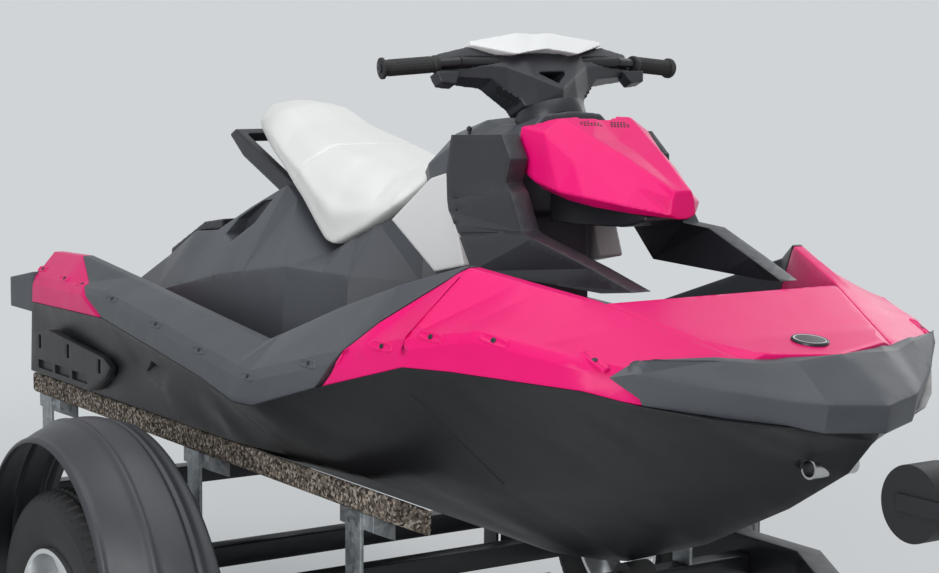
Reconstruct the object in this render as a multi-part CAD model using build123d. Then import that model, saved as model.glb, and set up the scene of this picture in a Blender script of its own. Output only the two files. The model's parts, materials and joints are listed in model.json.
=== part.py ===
import os
from math import cos, pi, radians, sin

from build123d import *

os.makedirs("parts", exist_ok=True)

# A two-seat personal watercraft standing on its single-axle trailer.
# Lengths are in millimetres. While it is built, X is measured forward from the stern,
# Y to port and Z up from the bottom of the keel. The whole is shifted once at the end,
# so that the ground is at Z = 0 and the middle of its length at X = 0.

# Size of the craft
CRAFT_LENGTH = 2790.0
HALF_BEAM = 581.0
CRAFT_HEIGHT = 1078.0
KEEL_ABOVE_GROUND = 475.0

# Clearances and small sizes that many pieces share
SEAT_GAP = 0.3
PANEL_GAP = 0.5
SHUT_GAP = 3.0
RUNNING_GAP = 0.05
CUT_OVERRUN = 20.0
SAME_POINT = 0.001

# Long lines of the body: shares of x in the length, of y in the half beam and of z in the height
KEEL_SHARES = [
    (0.057, 0, 0.000), (0.659, 0, 0.000), (0.717, 0, 0.018), (0.749, 0, 0.033),
    (0.832, 0, 0.110), (0.912, 0, 0.214), (0.964, 0, 0.298), (0.984, 0, 0.357),
]
CHINE_SHARES = [
    (0.057, 0.792, 0.178), (0.466, 0.792, 0.178), (0.609, 0.723, 0.184),
    (0.747, 0.516, 0.202), (0.860, 0.318, 0.263), (0.950, 0.120, 0.325), (0.984, 0.012, 0.360),
]
EDGE_SHARES = [
    (0.057, 0.783, 0.345), (0.251, 0.861, 0.366), (0.371, 0.919, 0.344), (0.477, 0.962, 0.320),
    (0.540, 0.990, 0.298), (0.571, 0.995, 0.303), (0.664, 1.000, 0.372), (0.759, 0.952, 0.440),
    (0.797, 0.893, 0.443), (0.847, 0.802, 0.440), (0.887, 0.721, 0.437), (0.912, 0.609, 0.418),
    (0.944, 0.448, 0.400), (0.966, 0.308, 0.391), (0.984, 0.034, 0.376),
]
CREASE_SHARES = [
    (0.057, 0.778, 0.399), (0.251, 0.867, 0.422), (0.377, 0.919, 0.397), (0.472, 0.962, 0.377),
    (0.562, 0.995, 0.357), (0.653, 1.000, 0.414), (0.695, 0.995, 0.442), (0.761, 0.947, 0.482),
    (0.813, 0.869, 0.510), (0.877, 0.744, 0.488), (0.914, 0.602, 0.464), (0.960, 0.420, 0.450),
]
SHOULDER_SHARES = [
    (0.057, 0.671, 0.464), (0.143, 0.706, 0.475), (0.295, 0.744, 0.446), (0.411, 0.802, 0.429),
    (0.537, 0.850, 0.408), (0.649, 0.861, 0.506), (0.720, 0.840, 0.565), (0.758, 0.719, 0.603),
    (0.842, 0.534, 0.560), (0.927, 0.360, 0.493), (0.960, 0.290, 0.470),
]
STERN_SHARE = 0.057
BOW_SHARE = 0.984

# Dark recess in the hull's side behind the foot well, and how far out it is cut
SIDE_RECESS_SHARES = [(0.296, 0.232), (0.358, 0.310), (0.389, 0.298), (0.362, 0.258), (0.312, 0.242)]
SIDE_RECESS_SHARE = 0.835

# Towing eye through the stem
EYE_SHARES = (0.948, 0.000, 0.304)
EYE_LENGTH = 104.0
EYE_RADIUS = 19.0
EYE_BORE_RADIUS = 15.0
# The hull's hole for the eye runs out past both flanks
EYE_HOLE_LENGTH = 150.0


def place(x_share, y_share, z_share):
    """A point of the craft from its shares."""
    return Vector(x_share * CRAFT_LENGTH, y_share * HALF_BEAM, z_share * CRAFT_HEIGHT)


def along(line_shares, x_share):
    """The point of a long line at one station."""
    for (x0, y0, z0), (x1, y1, z1) in zip(line_shares, line_shares[1:]):
        if x_share <= x1:
            break
    part = min(1, max(0, (x_share - x0) / (x1 - x0)))
    return place(x_share, y0 + part * (y1 - y0), z0 + part * (z1 - z0))


def stations(first, last, *lines):
    """All stations where one of the lines bends, from the first to the last."""
    inner = {row[0] for line in lines for row in line if first < row[0] < last}
    return sorted(inner | {first, last})


def hull_top(x_share):
    """Height at which pieces stand on the flat top of the hull."""
    return along(EDGE_SHARES, x_share).Z + PANEL_GAP


def mirrored_point(point):
    return Vector(point.X, -point.Y, point.Z)


def closed_ring(half):
    """A ring that is the same on both sides, from its port half."""
    return half + [mirrored_point(point) for point in reversed(half) if point.Y > SAME_POINT]


def flat_faces(corners):
    """One face where the corners lie in a plane, or a fan of triangles."""
    kept = []
    for corner in corners:
        if all((corner - other).length > SAME_POINT for other in kept):
            kept.append(corner)
    if len(kept) < 3:
        return []
    normal = (kept[1] - kept[0]).cross(kept[2] - kept[0]).normalized()
    if all(abs(normal.dot(corner - kept[0])) < SAME_POINT for corner in kept[3:]):
        return [Face(Wire.make_polygon(kept))]
    return [Face(Wire.make_polygon([kept[0], kept[k], kept[k + 1]])) for k in range(1, len(kept) - 1)]


def faceted(rings):
    """A closed solid of flat facets through rings of equally many points."""
    faces = flat_faces(rings[0]) + flat_faces(rings[-1])
    for ring, following in zip(rings, rings[1:]):
        for k in range(len(ring)):
            j = (k + 1) % len(ring)
            faces += flat_faces([ring[k], ring[j], following[j], following[k]])
    solid = Solid(Shell(faces))
    return solid if solid.volume > 0 else faceted([list(reversed(ring)) for ring in rings])


def both_sides(port):
    """A piece of the port side and its mirror image on the starboard side."""
    return [port, mirror(port, about=Plane.XZ)]


def box(x0, x1, y0, y1, z0, z1):
    """A box between two corners."""
    centre = Pos((x0 + x1) / 2, (y0 + y1) / 2, (z0 + z1) / 2)
    return centre * Box(abs(x1 - x0), abs(y1 - y0), abs(z1 - z0))


def prism_y(outline, y0, y1):
    """A prism along Y whose outline is given in X and Z."""
    face = Face(Wire.make_polygon([Vector(x, y0, z) for x, z in outline]))
    return Solid.extrude(face, Vector(0, y1 - y0, 0))


def prism_x(outline, x0, x1):
    """A prism along X whose outline is given in Y and Z."""
    face = Face(Wire.make_polygon([Vector(x0, y, z) for y, z in outline]))
    return Solid.extrude(face, Vector(x1 - x0, 0, 0))


def prism_z(outline, z0, z1):
    """A prism along Z whose outline is given in X and Y."""
    face = Face(Wire.make_polygon([Vector(x, y, z0) for x, y in outline]))
    return Solid.extrude(face, Vector(0, 0, z1 - z0))


def rod(start, end, radius):
    """A round bar between two points."""
    start, end = Vector(*start), Vector(*end)
    return Solid.make_cylinder(radius, (end - start).length, Plane(origin=start, z_dir=end - start))


def revolved_y(profile, centre_x, centre_z):
    """A ring about an axis along Y, from a profile of (y, radius) pairs."""
    points = [Vector(centre_x, y, centre_z + radius) for y, radius in profile]
    return Solid.revolve(Face(Wire.make_polygon(points)), 360, Axis((centre_x, 0, centre_z), (0, 1, 0)))


def side_outline(outline_shares):
    """An outline seen from the side, from shares of the length and the height."""
    return [(x * CRAFT_LENGTH, z * CRAFT_HEIGHT) for x, z in outline_shares]


# Engine and its bay in the hull
ENGINE_LENGTH = 420.0
ENGINE_WIDTH = 300.0
ENGINE_HEIGHT = 250.0
ENGINE_SHARE = 0.423
ENGINE_BOTTOM = 90.0
BAY_CLEARANCE = 25.0

# Water jet in its tunnel at the stern
PUMP_AXIS_Z = 115.0
TUNNEL_RADIUS = 105.0
PUMP_RADIUS = 92.0
PUMP_WALL = 7.0
PUMP_LENGTH = 250.0
FLANGE_RADIUS = 98.0
FLANGE_LENGTH = 10.0
SHAFT_RADIUS = 14.0
SHAFT_CLEARANCE = 6.0
IMPELLER_TIP_GAP = 1.0
IMPELLER_LENGTH = 70.0
IMPELLER_HUB_RADIUS = 30.0
BLADE_COUNT = 3
BLADE_THICKNESS = 5.0
BLADE_PITCH = 40.0
STATOR_LENGTH = 60.0
STATOR_COUNT = 5
STATOR_THICKNESS = 4.0
STATOR_GAP = 12.0
NOZZLE_RADIUS = 72.0
NOZZLE_TIP_RADIUS = 52.0
NOZZLE_WALL = 6.0
NOZZLE_LENGTH = 125.0
NOZZLE_COLLAR_LENGTH = 40.0
NOZZLE_GAP = 6.0
NOZZLE_PIN_RADIUS = 8.0
NOZZLE_PIN_X = 20.0
EAR_GAP = 8.0
EAR_THICKNESS = 10.0
RIDE_PLATE_THICKNESS = 6.0
INTAKE_LENGTH = 390.0
INTAKE_HALF_WIDTH = 80.0
INTAKE_HEIGHT = 190.0
GRATE_BAR = 8.0
GRATE_DEPTH = 14.0
GRATE_BAR_COUNT = 5


def engine_x():
    return ENGINE_SHARE * CRAFT_LENGTH


def stern_x():
    return STERN_SHARE * CRAFT_LENGTH


def tunnel_length():
    """The pump's flange is bolted to the tunnel's front wall."""
    return PUMP_LENGTH + FLANGE_LENGTH + SEAT_GAP


def bottom_slope():
    """Rise of the hull's bottom from the keel out to the chine."""
    return CHINE_SHARES[0][2] * CRAFT_HEIGHT / (CHINE_SHARES[0][1] * HALF_BEAM)


def bottom_plate(x0, x1, half, thickness):
    """A plate that follows both slopes of the hull's bottom."""
    edge = half * bottom_slope()
    outline = [
        (0, 0), (half, edge), (half, edge + thickness),
        (0, thickness), (-half, edge + thickness), (-half, edge),
    ]
    return prism_x(outline, x0, x1)


def engine_bay(top):
    half = ENGINE_WIDTH / 2 + BAY_CLEARANCE
    reach = ENGINE_LENGTH / 2 + BAY_CLEARANCE
    return box(engine_x() - reach, engine_x() + reach, -half, half, ENGINE_BOTTOM, top)


def pump_tunnel():
    """The round-topped tunnel that the pump sits in, open to the stern and below."""
    stern = stern_x()
    start = (stern - CUT_OVERRUN, 0, PUMP_AXIS_Z)
    top = rod(start, (stern + tunnel_length(), 0, PUMP_AXIS_Z), TUNNEL_RADIUS)
    foot = box(stern - CUT_OVERRUN, stern + tunnel_length(),
               -TUNNEL_RADIUS, TUNNEL_RADIUS, -CUT_OVERRUN, PUMP_AXIS_Z)
    return top + foot


def eye_rod(radius, length):
    """A round bar across the stem where the towing eye goes through it."""
    x, _, z = EYE_SHARES
    centre = place(x, 0, z)
    half = Vector(0, length / 2, 0)
    return rod(centre - half, centre + half, radius)


def bow_eye():
    """The steel sleeve through the stem that a towing line or winch hook goes through."""
    return eye_rod(EYE_RADIUS, EYE_LENGTH) - eye_rod(EYE_BORE_RADIUS, EYE_LENGTH)


def hull_ring(x_share):
    """One cross-section of the hull, from the keel round to the flat top and back."""
    return closed_ring([along(line, x_share) for line in (KEEL_SHARES, CHINE_SHARES, EDGE_SHARES)])


def hull_form():
    shares = stations(STERN_SHARE, BOW_SHARE, KEEL_SHARES, CHINE_SHARES, EDGE_SHARES)
    return faceted([hull_ring(share) for share in shares])


def shaft_hole():
    """The passage for the drive shaft, from the tunnel to the engine bay."""
    start = stern_x() + tunnel_length() - CUT_OVERRUN
    return rod((start, 0, PUMP_AXIS_Z), (engine_x(), 0, PUMP_AXIS_Z),
               SHAFT_RADIUS + SHAFT_CLEARANCE)


def intake():
    """The sloping duct from the hull's bottom back up into the tunnel."""
    rear = stern_x() + tunnel_length()
    outline = [
        (rear - CUT_OVERRUN, -CUT_OVERRUN), (rear + INTAKE_LENGTH, -CUT_OVERRUN), (rear + INTAKE_LENGTH, 0),
        (rear, INTAKE_HEIGHT), (rear - CUT_OVERRUN, INTAKE_HEIGHT),
    ]
    return prism_y(outline, -INTAKE_HALF_WIDTH, INTAKE_HALF_WIDTH)


def intake_grate():
    """The plate across the duct's mouth, slotted into bars that run along the craft."""
    rear = stern_x() + tunnel_length() + SEAT_GAP
    half = INTAKE_HALF_WIDTH - SEAT_GAP
    grate = bottom_plate(rear, rear + INTAKE_LENGTH, half, GRATE_DEPTH) & Pos(-SEAT_GAP, 0, 0) * intake()
    rise = (half * bottom_slope() + GRATE_DEPTH) / INTAKE_HEIGHT
    front = rear + INTAKE_LENGTH * (1 - rise) - GRATE_BAR
    pitch = (2 * half - GRATE_BAR) / (GRATE_BAR_COUNT - 1)
    for k in range(GRATE_BAR_COUNT - 1):
        y = k * pitch - half + GRATE_BAR
        grate -= box(rear + GRATE_BAR, front, y, y + pitch - GRATE_BAR, -CUT_OVERRUN, INTAKE_HEIGHT)
    return grate


def hull():
    body = hull_form() - engine_bay(CRAFT_HEIGHT) - pump_tunnel() - shaft_hole() - intake()
    for side_cut in both_sides(prism_y(side_outline(SIDE_RECESS_SHARES), SIDE_RECESS_SHARE * HALF_BEAM,
                                       HALF_BEAM + CUT_OVERRUN)):
        body -= side_cut
    return body - eye_rod(EYE_RADIUS, EYE_HOLE_LENGTH)


def drive_shaft():
    """The shaft from the engine's rear face to the impeller."""
    impeller_front = stern_x() + PUMP_LENGTH
    engine_rear = engine_x() - ENGINE_LENGTH / 2
    return rod((impeller_front, 0, PUMP_AXIS_Z), (engine_rear - SEAT_GAP, 0, PUMP_AXIS_Z), SHAFT_RADIUS)


def engine():
    half = ENGINE_WIDTH / 2
    reach = ENGINE_LENGTH / 2
    return box(engine_x() - reach, engine_x() + reach, -half, half,
               ENGINE_BOTTOM, ENGINE_BOTTOM + ENGINE_HEIGHT)


# Side panels on the hull: the stern cap, the rail and the front fairing are cut from one form
RAIL_INSET = 25.0
PANEL_FRONT_SHARE = 0.955
CAP_SHUT_SHARES = [(0.251, 0.366), (0.140, 0.473)]
FAIRING_SHUT_SHARES = [(0.664, 0.372), (0.756, 0.589)]
# Plan of the joint between the panels and the bumper: x and y
BUMPER_JOINT_SHARES = [(0.884, 0.760), (0.912, 0.604), (0.931, 0.400), (0.940, 0.270), (0.956, 0.000)]


def panel_ring(x_share):
    """A side panel's section: edge, crease, shoulder, inner top and foot."""
    edge = along(EDGE_SHARES, x_share)
    crease = along(CREASE_SHARES, x_share)
    shoulder = along(SHOULDER_SHARES, x_share)
    base = hull_top(x_share)
    inner_y = shoulder.Y - RAIL_INSET
    return [
        Vector(edge.X, edge.Y, base),
        crease,
        shoulder,
        Vector(edge.X, inner_y, shoulder.Z),
        Vector(edge.X, inner_y, base),
    ]


def whole_panel():
    shares = stations(STERN_SHARE, PANEL_FRONT_SHARE, EDGE_SHARES, CREASE_SHARES, SHOULDER_SHARES)
    return faceted([panel_ring(share) for share in shares])


def ahead_of(shut_shares, shift):
    """Everything ahead of a slanting shut line, as a prism across the craft."""
    (x0, z0), (x1, z1) = side_outline(shut_shares)
    lean = (x1 - x0) / (z1 - z0)
    low_x = x0 - z0 * lean + shift
    high_x = low_x + CRAFT_HEIGHT * lean
    reach = 2 * CRAFT_LENGTH
    outline = [(low_x, 0), (reach, 0), (reach, CRAFT_HEIGHT), (high_x, CRAFT_HEIGHT)]
    return prism_y(outline, -HALF_BEAM - CUT_OVERRUN, HALF_BEAM + CUT_OVERRUN)


def ahead_of_joint(shift):
    """Everything ahead of the joint with the bumper, seen in plan."""
    port = [(x * CRAFT_LENGTH + shift, y * HALF_BEAM) for x, y in BUMPER_JOINT_SHARES]
    wide = HALF_BEAM + CUT_OVERRUN
    far = CRAFT_LENGTH + CUT_OVERRUN
    start_x = port[0][0] - (wide - port[0][1])
    starboard = [(x, -y) for x, y in reversed(port[:-1])]
    outline = [(far, wide), (start_x, wide)] + port + starboard + [(start_x, -wide), (far, -wide)]
    return prism_z(outline, 0, CRAFT_HEIGHT)


def rear_caps():
    """The painted caps over the stern ends of the side rails."""
    return both_sides(whole_panel() - ahead_of(CAP_SHUT_SHARES, -SHUT_GAP / 2))


def side_rails():
    """The dark rails beside the footwells, lowest where the rider steps over."""
    rail = whole_panel() & ahead_of(CAP_SHUT_SHARES, SHUT_GAP / 2)
    return both_sides(rail - ahead_of(FAIRING_SHUT_SHARES, -SHUT_GAP / 2))


def fairings():
    """The painted front quarters, from the rails to the bumper."""
    fairing = whole_panel() & ahead_of(FAIRING_SHUT_SHARES, SHUT_GAP / 2)
    return both_sides(fairing - ahead_of_joint(-SHUT_GAP / 2))


# Bow deck between the fairings: x, y of the trough's corner and z of the trough
TROUGH_SHARES = [(0.846, 0.353, 0.557), (0.912, 0.310, 0.506), (0.960, 0.200, 0.487)]


def bow_deck():
    """The sunk middle of the bow, lower towards the nose."""
    rings = []
    for x_share in stations(TROUGH_SHARES[0][0], TROUGH_SHARES[-1][0], TROUGH_SHARES, SHOULDER_SHARES,
                            EDGE_SHARES):
        wall = along(SHOULDER_SHARES, x_share)
        corner = along(TROUGH_SHARES, x_share)
        top_y = wall.Y - RAIL_INSET - PANEL_GAP
        rings.append(closed_ring([
            Vector(wall.X, top_y, hull_top(x_share)),
            Vector(wall.X, top_y, wall.Z),
            Vector(wall.X, min(corner.Y, top_y - PANEL_GAP), corner.Z),
        ]))
    return faceted(rings) - ahead_of_joint(-SHUT_GAP / 2)


# Bumper round the bow, station by station across it: y, then (x, z) of the top behind,
# the top in front, the ridge and the lower edge
BUMPER_SHARES = [
    (0.725, (0.880, 0.468), (0.887, 0.478), (0.889, 0.455), (0.888, 0.438)),
    (0.604, (0.900, 0.491), (0.913, 0.491), (0.915, 0.471), (0.912, 0.419)),
    (0.400, (0.920, 0.505), (0.936, 0.490), (0.951, 0.445), (0.945, 0.399)),
    (0.270, (0.930, 0.496), (0.948, 0.482), (0.970, 0.431), (0.966, 0.391)),
    (0.180, (0.940, 0.491), (0.955, 0.486), (0.984, 0.427), (0.980, 0.383)),
    (0.000, (0.950, 0.491), (0.957, 0.491), (0.997, 0.422), (0.995, 0.376)),
]


def bumper():
    rings = []
    for y_share, *profile in BUMPER_SHARES:
        rear, top, ridge, low = [place(x, y_share, z) for x, z in profile]
        foot = Vector(rear.X, rear.Y, hull_top(rear.X / CRAFT_LENGTH))
        low = Vector(low.X, low.Y, hull_top(min(BOW_SHARE, low.X / CRAFT_LENGTH)))
        rings.append([rear, top, ridge, low, foot])
    rings += [[mirrored_point(point) for point in ring] for ring in reversed(rings[:-1])]
    body = faceted(rings) & ahead_of_joint(SHUT_GAP / 2)
    return body - hull_form() - Pos(0, 0, PANEL_GAP) * hull_form()


# Pedestal: its side crease and its top edge
PEDESTAL_CREASE_SHARES = [
    (0.105, 0.516, 0.380), (0.208, 0.516, 0.404), (0.327, 0.516, 0.474), (0.444, 0.516, 0.520),
    (0.500, 0.400, 0.510), (0.548, 0.160, 0.500), (0.655, 0.155, 0.500),
]
PEDESTAL_TOP_SHARES = [
    (0.105, 0.280, 0.405), (0.143, 0.310, 0.462), (0.208, 0.327, 0.538), (0.251, 0.327, 0.550),
    (0.301, 0.293, 0.612), (0.351, 0.258, 0.668), (0.444, 0.310, 0.545), (0.500, 0.275, 0.620),
    (0.548, 0.150, 0.690), (0.655, 0.145, 0.690),
]
PEDESTAL_FOOT_SPREAD = 1.05

# Hollows in the pedestal's flanks behind the seat, with a plug in each
HOLLOW_SHARES = [(0.280, 0.547), (0.287, 0.583), (0.320, 0.627), (0.338, 0.634), (0.332, 0.583),
                 (0.307, 0.536)]
HOLLOW_DEPTH_SHARE = 0.480
PLUG_SHARES = (0.306, 0.560)
PLUG_RADIUS = 17.0
PLUG_HEIGHT = 8.0

# Hatch pad seen from the side
HATCH_SHARES = [(0.142, 0.445), (0.144, 0.483), (0.211, 0.560), (0.248, 0.574), (0.244, 0.530)]
HATCH_HALF_WIDTH = 170.0

# Grab loop seen from the side: one arm, and the bar across its end
LOOP_ARM_SHARES = [(0.340, 0.625), (0.350, 0.660), (0.272, 0.742), (0.238, 0.777), (0.227, 0.763),
                   (0.252, 0.716)]
LOOP_BAR_SHARES = [(0.227, 0.763), (0.238, 0.777), (0.247, 0.767), (0.237, 0.746)]
LOOP_HALF_WIDTH = 122.0
LOOP_THICKNESS = 22.0

# Mats in the foot wells
MAT_START_SHARE = 0.251
MAT_END_SHARE = 0.560
MAT_INNER_SHARE = 0.560
MAT_OUTER_SHARE = 0.660
MAT_THICKNESS = 6.0

# Boarding platform: y, how far forward its rear edge is, and how far its top drops;
# then the heights of its underside, of its rear edge and of its front edge
PLATFORM_SHARES = [(0.775, 0.000, 0.000), (0.640, 0.000, 0.000), (0.560, 0.020, 0.030)]
PLATFORM_HEIGHT_SHARES = (0.319, 0.391, 0.418)

# Sponsons: outline, slots, and the bounds of the lower windows
SPONSON_SHARES = [(0.101, 0.286), (0.094, 0.199), (0.222, 0.192), (0.258, 0.237), (0.267, 0.261),
                  (0.254, 0.278), (0.134, 0.303)]
SPONSON_OUTER_SHARE = 0.862
SPONSON_SLOT_SHARES = [(0.115, 0.270), (0.178, 0.268), (0.245, 0.256)]
SPONSON_WINDOW_SHARES = [(0.108, 0.217), (0.146, 0.217), (0.184, 0.217), (0.222, 0.217)]
SLOT_WIDTH = 14.0
SLOT_HEIGHT = 34.0
SLOT_DEPTH = 8.0
WINDOW_RIB = 16.0
WINDOW_HEIGHT = 22.0

# Tie-down eyes on the stern
STERN_EYE_SHARES = (0.560, 0.270)
STERN_EYE_LENGTH = 40.0
STERN_EYE_THICKNESS = 8.0
STERN_EYE_RADIUS = 11.0

# Round boss on the bow deck
ROUNDEL_SHARES = (0.9265, 0.000, 0.5020)
ROUNDEL_RADIUS = 34.0
ROUNDEL_HEIGHT = 3.5
ROUNDEL_LEAN = 8.0


def pedestal_rings(shift):
    """The pedestal's sections, with its top edge moved up by the shift."""
    rings = []
    shares = stations(PEDESTAL_TOP_SHARES[0][0], PEDESTAL_TOP_SHARES[-1][0],
                      PEDESTAL_TOP_SHARES, PEDESTAL_CREASE_SHARES, EDGE_SHARES)
    for x_share in shares:
        crease = along(PEDESTAL_CREASE_SHARES, x_share)
        top = along(PEDESTAL_TOP_SHARES, x_share) + Vector(0, 0, shift)
        foot = Vector(crease.X, crease.Y * PEDESTAL_FOOT_SPREAD, hull_top(x_share))
        rings.append(closed_ring([foot, crease, top]))
    return rings


def side_recesses():
    """The moulded hollows in the pedestal's flanks, one each side."""
    outer = PEDESTAL_CREASE_SHARES[0][1] * HALF_BEAM
    return both_sides(prism_y(side_outline(HOLLOW_SHARES), outer - HOLLOW_DEPTH_SHARE * outer, outer))


def recess_plugs():
    """Round plugs on the floors of the hollows."""
    outer = PEDESTAL_CREASE_SHARES[0][1] * HALF_BEAM
    inner = outer - HOLLOW_DEPTH_SHARE * outer + SEAT_GAP
    x, z = side_outline([PLUG_SHARES])[0]
    outer = inner + PLUG_HEIGHT
    plug = rod((x, inner, z), (x, outer, z), PLUG_RADIUS)
    return both_sides(plug - rod((x, outer - PLUG_HEIGHT / 2, z), (x, outer, z), PLUG_RADIUS / 2))


def pedestal():
    """The moulding that carries the seat and closes the engine bay."""
    body = faceted(pedestal_rings(0)) - engine_bay(ENGINE_BOTTOM + ENGINE_HEIGHT + BAY_CLEARANCE)
    for piece in [seat(), grab_loop()] + knee_trims() + side_recesses():
        body -= piece
    return body


def hatch_pad():
    """The raised pad over the rear storage hatch, on the pedestal's slope."""
    outline = side_outline(HATCH_SHARES)
    y = HATCH_HALF_WIDTH
    return prism_y(outline, -y, y) - faceted(pedestal_rings(SEAT_GAP))


def grab_loop():
    """The passenger's grab loop behind the seat: two arms and the bar that joins them."""
    half = LOOP_HALF_WIDTH
    arms = both_sides(prism_y(side_outline(LOOP_ARM_SHARES), half - LOOP_THICKNESS, half))
    bar = prism_y(side_outline(LOOP_BAR_SHARES), -half, half)
    return arms[0] + bar + arms[1] - seat()


def foot_mats():
    """Ribbed mats on the floors of the foot wells."""
    rings = []
    for x_share in stations(MAT_START_SHARE, MAT_END_SHARE, EDGE_SHARES):
        low = hull_top(x_share) + SEAT_GAP
        top = low + MAT_THICKNESS
        rings.append([Vector(x_share * CRAFT_LENGTH, y * HALF_BEAM, z)
                      for y, z in ((MAT_INNER_SHARE, low), (MAT_OUTER_SHARE, low),
                                   (MAT_OUTER_SHARE, top), (MAT_INNER_SHARE, top))])
    return both_sides(faceted(rings))


def stern_platform():
    """The boarding platform across the stern, its two corners reaching further back."""
    rings = []
    front = stern_x() - PANEL_GAP
    for y_share, rear_share, drop_share in PLATFORM_SHARES:
        rear = rear_share * CRAFT_LENGTH
        y = y_share * HALF_BEAM
        low, rear_top, front_top = [(share - drop_share) * CRAFT_HEIGHT for share in PLATFORM_HEIGHT_SHARES]
        rings.append([Vector(rear, y, low + drop_share * CRAFT_HEIGHT), Vector(rear, y, rear_top),
                      Vector(front, y, front_top), Vector(front, y, low + drop_share * CRAFT_HEIGHT)])
    rings += [[mirrored_point(point) for point in ring] for ring in reversed(rings)]
    return faceted(rings)


def sponsons():
    """The stabilisers bolted to the hull's sides at the stern, with their slots and windows."""
    outer = SPONSON_OUTER_SHARE * HALF_BEAM
    body = prism_y(side_outline(SPONSON_SHARES), CHINE_SHARES[0][1] * HALF_BEAM - CUT_OVERRUN, outer)
    body -= hull_form()
    for x, z in side_outline(SPONSON_SLOT_SHARES):
        body -= box(x - SLOT_WIDTH / 2, x + SLOT_WIDTH / 2, outer - SLOT_DEPTH, outer,
                    z - SLOT_HEIGHT / 2, z + SLOT_HEIGHT / 2)
    corners = side_outline(SPONSON_WINDOW_SHARES)
    for (x0, z), (x1, _) in zip(corners, corners[1:]):
        body -= box(x0 + WINDOW_RIB / 2, x1 - WINDOW_RIB / 2, outer - SLOT_DEPTH, outer,
                    z - WINDOW_HEIGHT / 2, z + WINDOW_HEIGHT / 2)
    return both_sides(body)


def stern_eyes():
    """The two tie-down eyes on the stern, flat plates with a round hole across."""
    x = stern_x() - PANEL_GAP
    z = STERN_EYE_SHARES[1] * CRAFT_HEIGHT
    y = STERN_EYE_SHARES[0] * HALF_BEAM
    reach = STERN_EYE_LENGTH
    low, top = z - reach / 2, z + reach / 2
    plate = box(x - reach, x, y - STERN_EYE_THICKNESS / 2, y + STERN_EYE_THICKNESS / 2, low, top)
    base = box(x - STERN_EYE_THICKNESS, x, y - reach / 2, y + reach / 2, low, top)
    hole = rod((x - reach / 2, y - reach, z), (x - reach / 2, y + reach, z), STERN_EYE_RADIUS)
    return both_sides(plate + base - hole)


def bow_roundel():
    """The plain round boss on the bow deck."""
    x, _, z = ROUNDEL_SHARES
    centre = place(x, 0, z)
    lean = Vector(1, 0, 0) * sin(radians(ROUNDEL_LEAN)) + Vector(0, 0, 1) * cos(radians(ROUNDEL_LEAN))
    return rod(centre - lean * ROUNDEL_HEIGHT, centre + lean * ROUNDEL_HEIGHT, ROUNDEL_RADIUS) - bow_deck()


# Seat: x, then (y, z) of the lower edge, the side and the top edge, and z of the middle
SEAT_SHARES = [
    (0.247, (0.052, 0.788), (0.077, 0.809), (0.052, 0.826), 0.828),
    (0.263, (0.155, 0.772), (0.181, 0.802), (0.112, 0.840), 0.849),
    (0.308, (0.215, 0.726), (0.258, 0.779), (0.155, 0.830), 0.842),
    (0.341, (0.250, 0.696), (0.293, 0.747), (0.172, 0.793), 0.805),
    (0.391, (0.301, 0.633), (0.336, 0.705), (0.198, 0.763), 0.772),
    (0.438, (0.341, 0.558), (0.361, 0.649), (0.207, 0.737), 0.748),
    (0.453, (0.344, 0.555), (0.358, 0.631), (0.198, 0.728), 0.738),
    (0.495, (0.318, 0.601), (0.327, 0.640), (0.164, 0.710), 0.724),
    (0.525, (0.275, 0.649), (0.284, 0.668), (0.146, 0.728), 0.742),
    (0.548, (0.146, 0.716), (0.164, 0.728), (0.120, 0.753), 0.756),
]


def ribbed(table_shares):
    """A faceted piece, the same on both sides, from a table of cross-sections."""
    rings = []
    for x_share, *edge, middle_z in table_shares:
        half = [place(x_share, *corner) for corner in edge]
        rings.append(closed_ring(half + [place(x_share, 0, middle_z)]))
    return faceted(rings)


def seat():
    return ribbed(SEAT_SHARES)


# Struts beside the hood: the rear and the front outer edge, from the top down to the foot
STRUT_SHARES = [
    ((0.625, 0.344, 0.807), (0.683, 0.327, 0.814)),
    ((0.624, 0.361, 0.741), (0.699, 0.344, 0.772)),
    ((0.631, 0.379, 0.686), (0.697, 0.356, 0.728)),
    ((0.636, 0.389, 0.668), (0.708, 0.370, 0.712)),
    ((0.652, 0.413, 0.645), (0.725, 0.382, 0.647)),
    ((0.679, 0.430, 0.566), (0.746, 0.413, 0.640)),
    ((0.768, 0.396, 0.563), (0.800, 0.370, 0.599)),
    ((0.815, 0.386, 0.561), (0.838, 0.344, 0.567)),
]
STRUT_THICKNESS = 42.0
# Grooves across the strut's outer face: its rear and its front end, from the top down
GROOVE_SHARES = [
    ((0.640, 0.690), (0.697, 0.710)),
    ((0.645, 0.668), (0.704, 0.706)),
    ((0.650, 0.648), (0.712, 0.674)),
    ((0.656, 0.622), (0.721, 0.646)),
]
GROOVE_HEIGHT = 9.0
GROOVE_DEPTH = 4.0


def strut_grooves(rings):
    """Wedges that cut the shallow grooves, tapering towards the front, at the face's own depth."""
    cuts = []
    for rear_share, front_share in GROOVE_SHARES:
        (x0, z0), (x1, z1) = side_outline([rear_share, front_share])
        above = [ring[0] for ring in rings if ring[0].Z >= z0][-1]
        below = [ring[0] for ring in rings if ring[0].Z < z0][0]
        face_y = above.Y + (below.Y - above.Y) * (above.Z - z0) / (above.Z - below.Z)
        cuts.append(prism_y([(x0, z0), (x0, z0 + GROOVE_HEIGHT), (x1, z1)], face_y - GROOVE_DEPTH,
                            face_y + CUT_OVERRUN))
    return cuts


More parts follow.
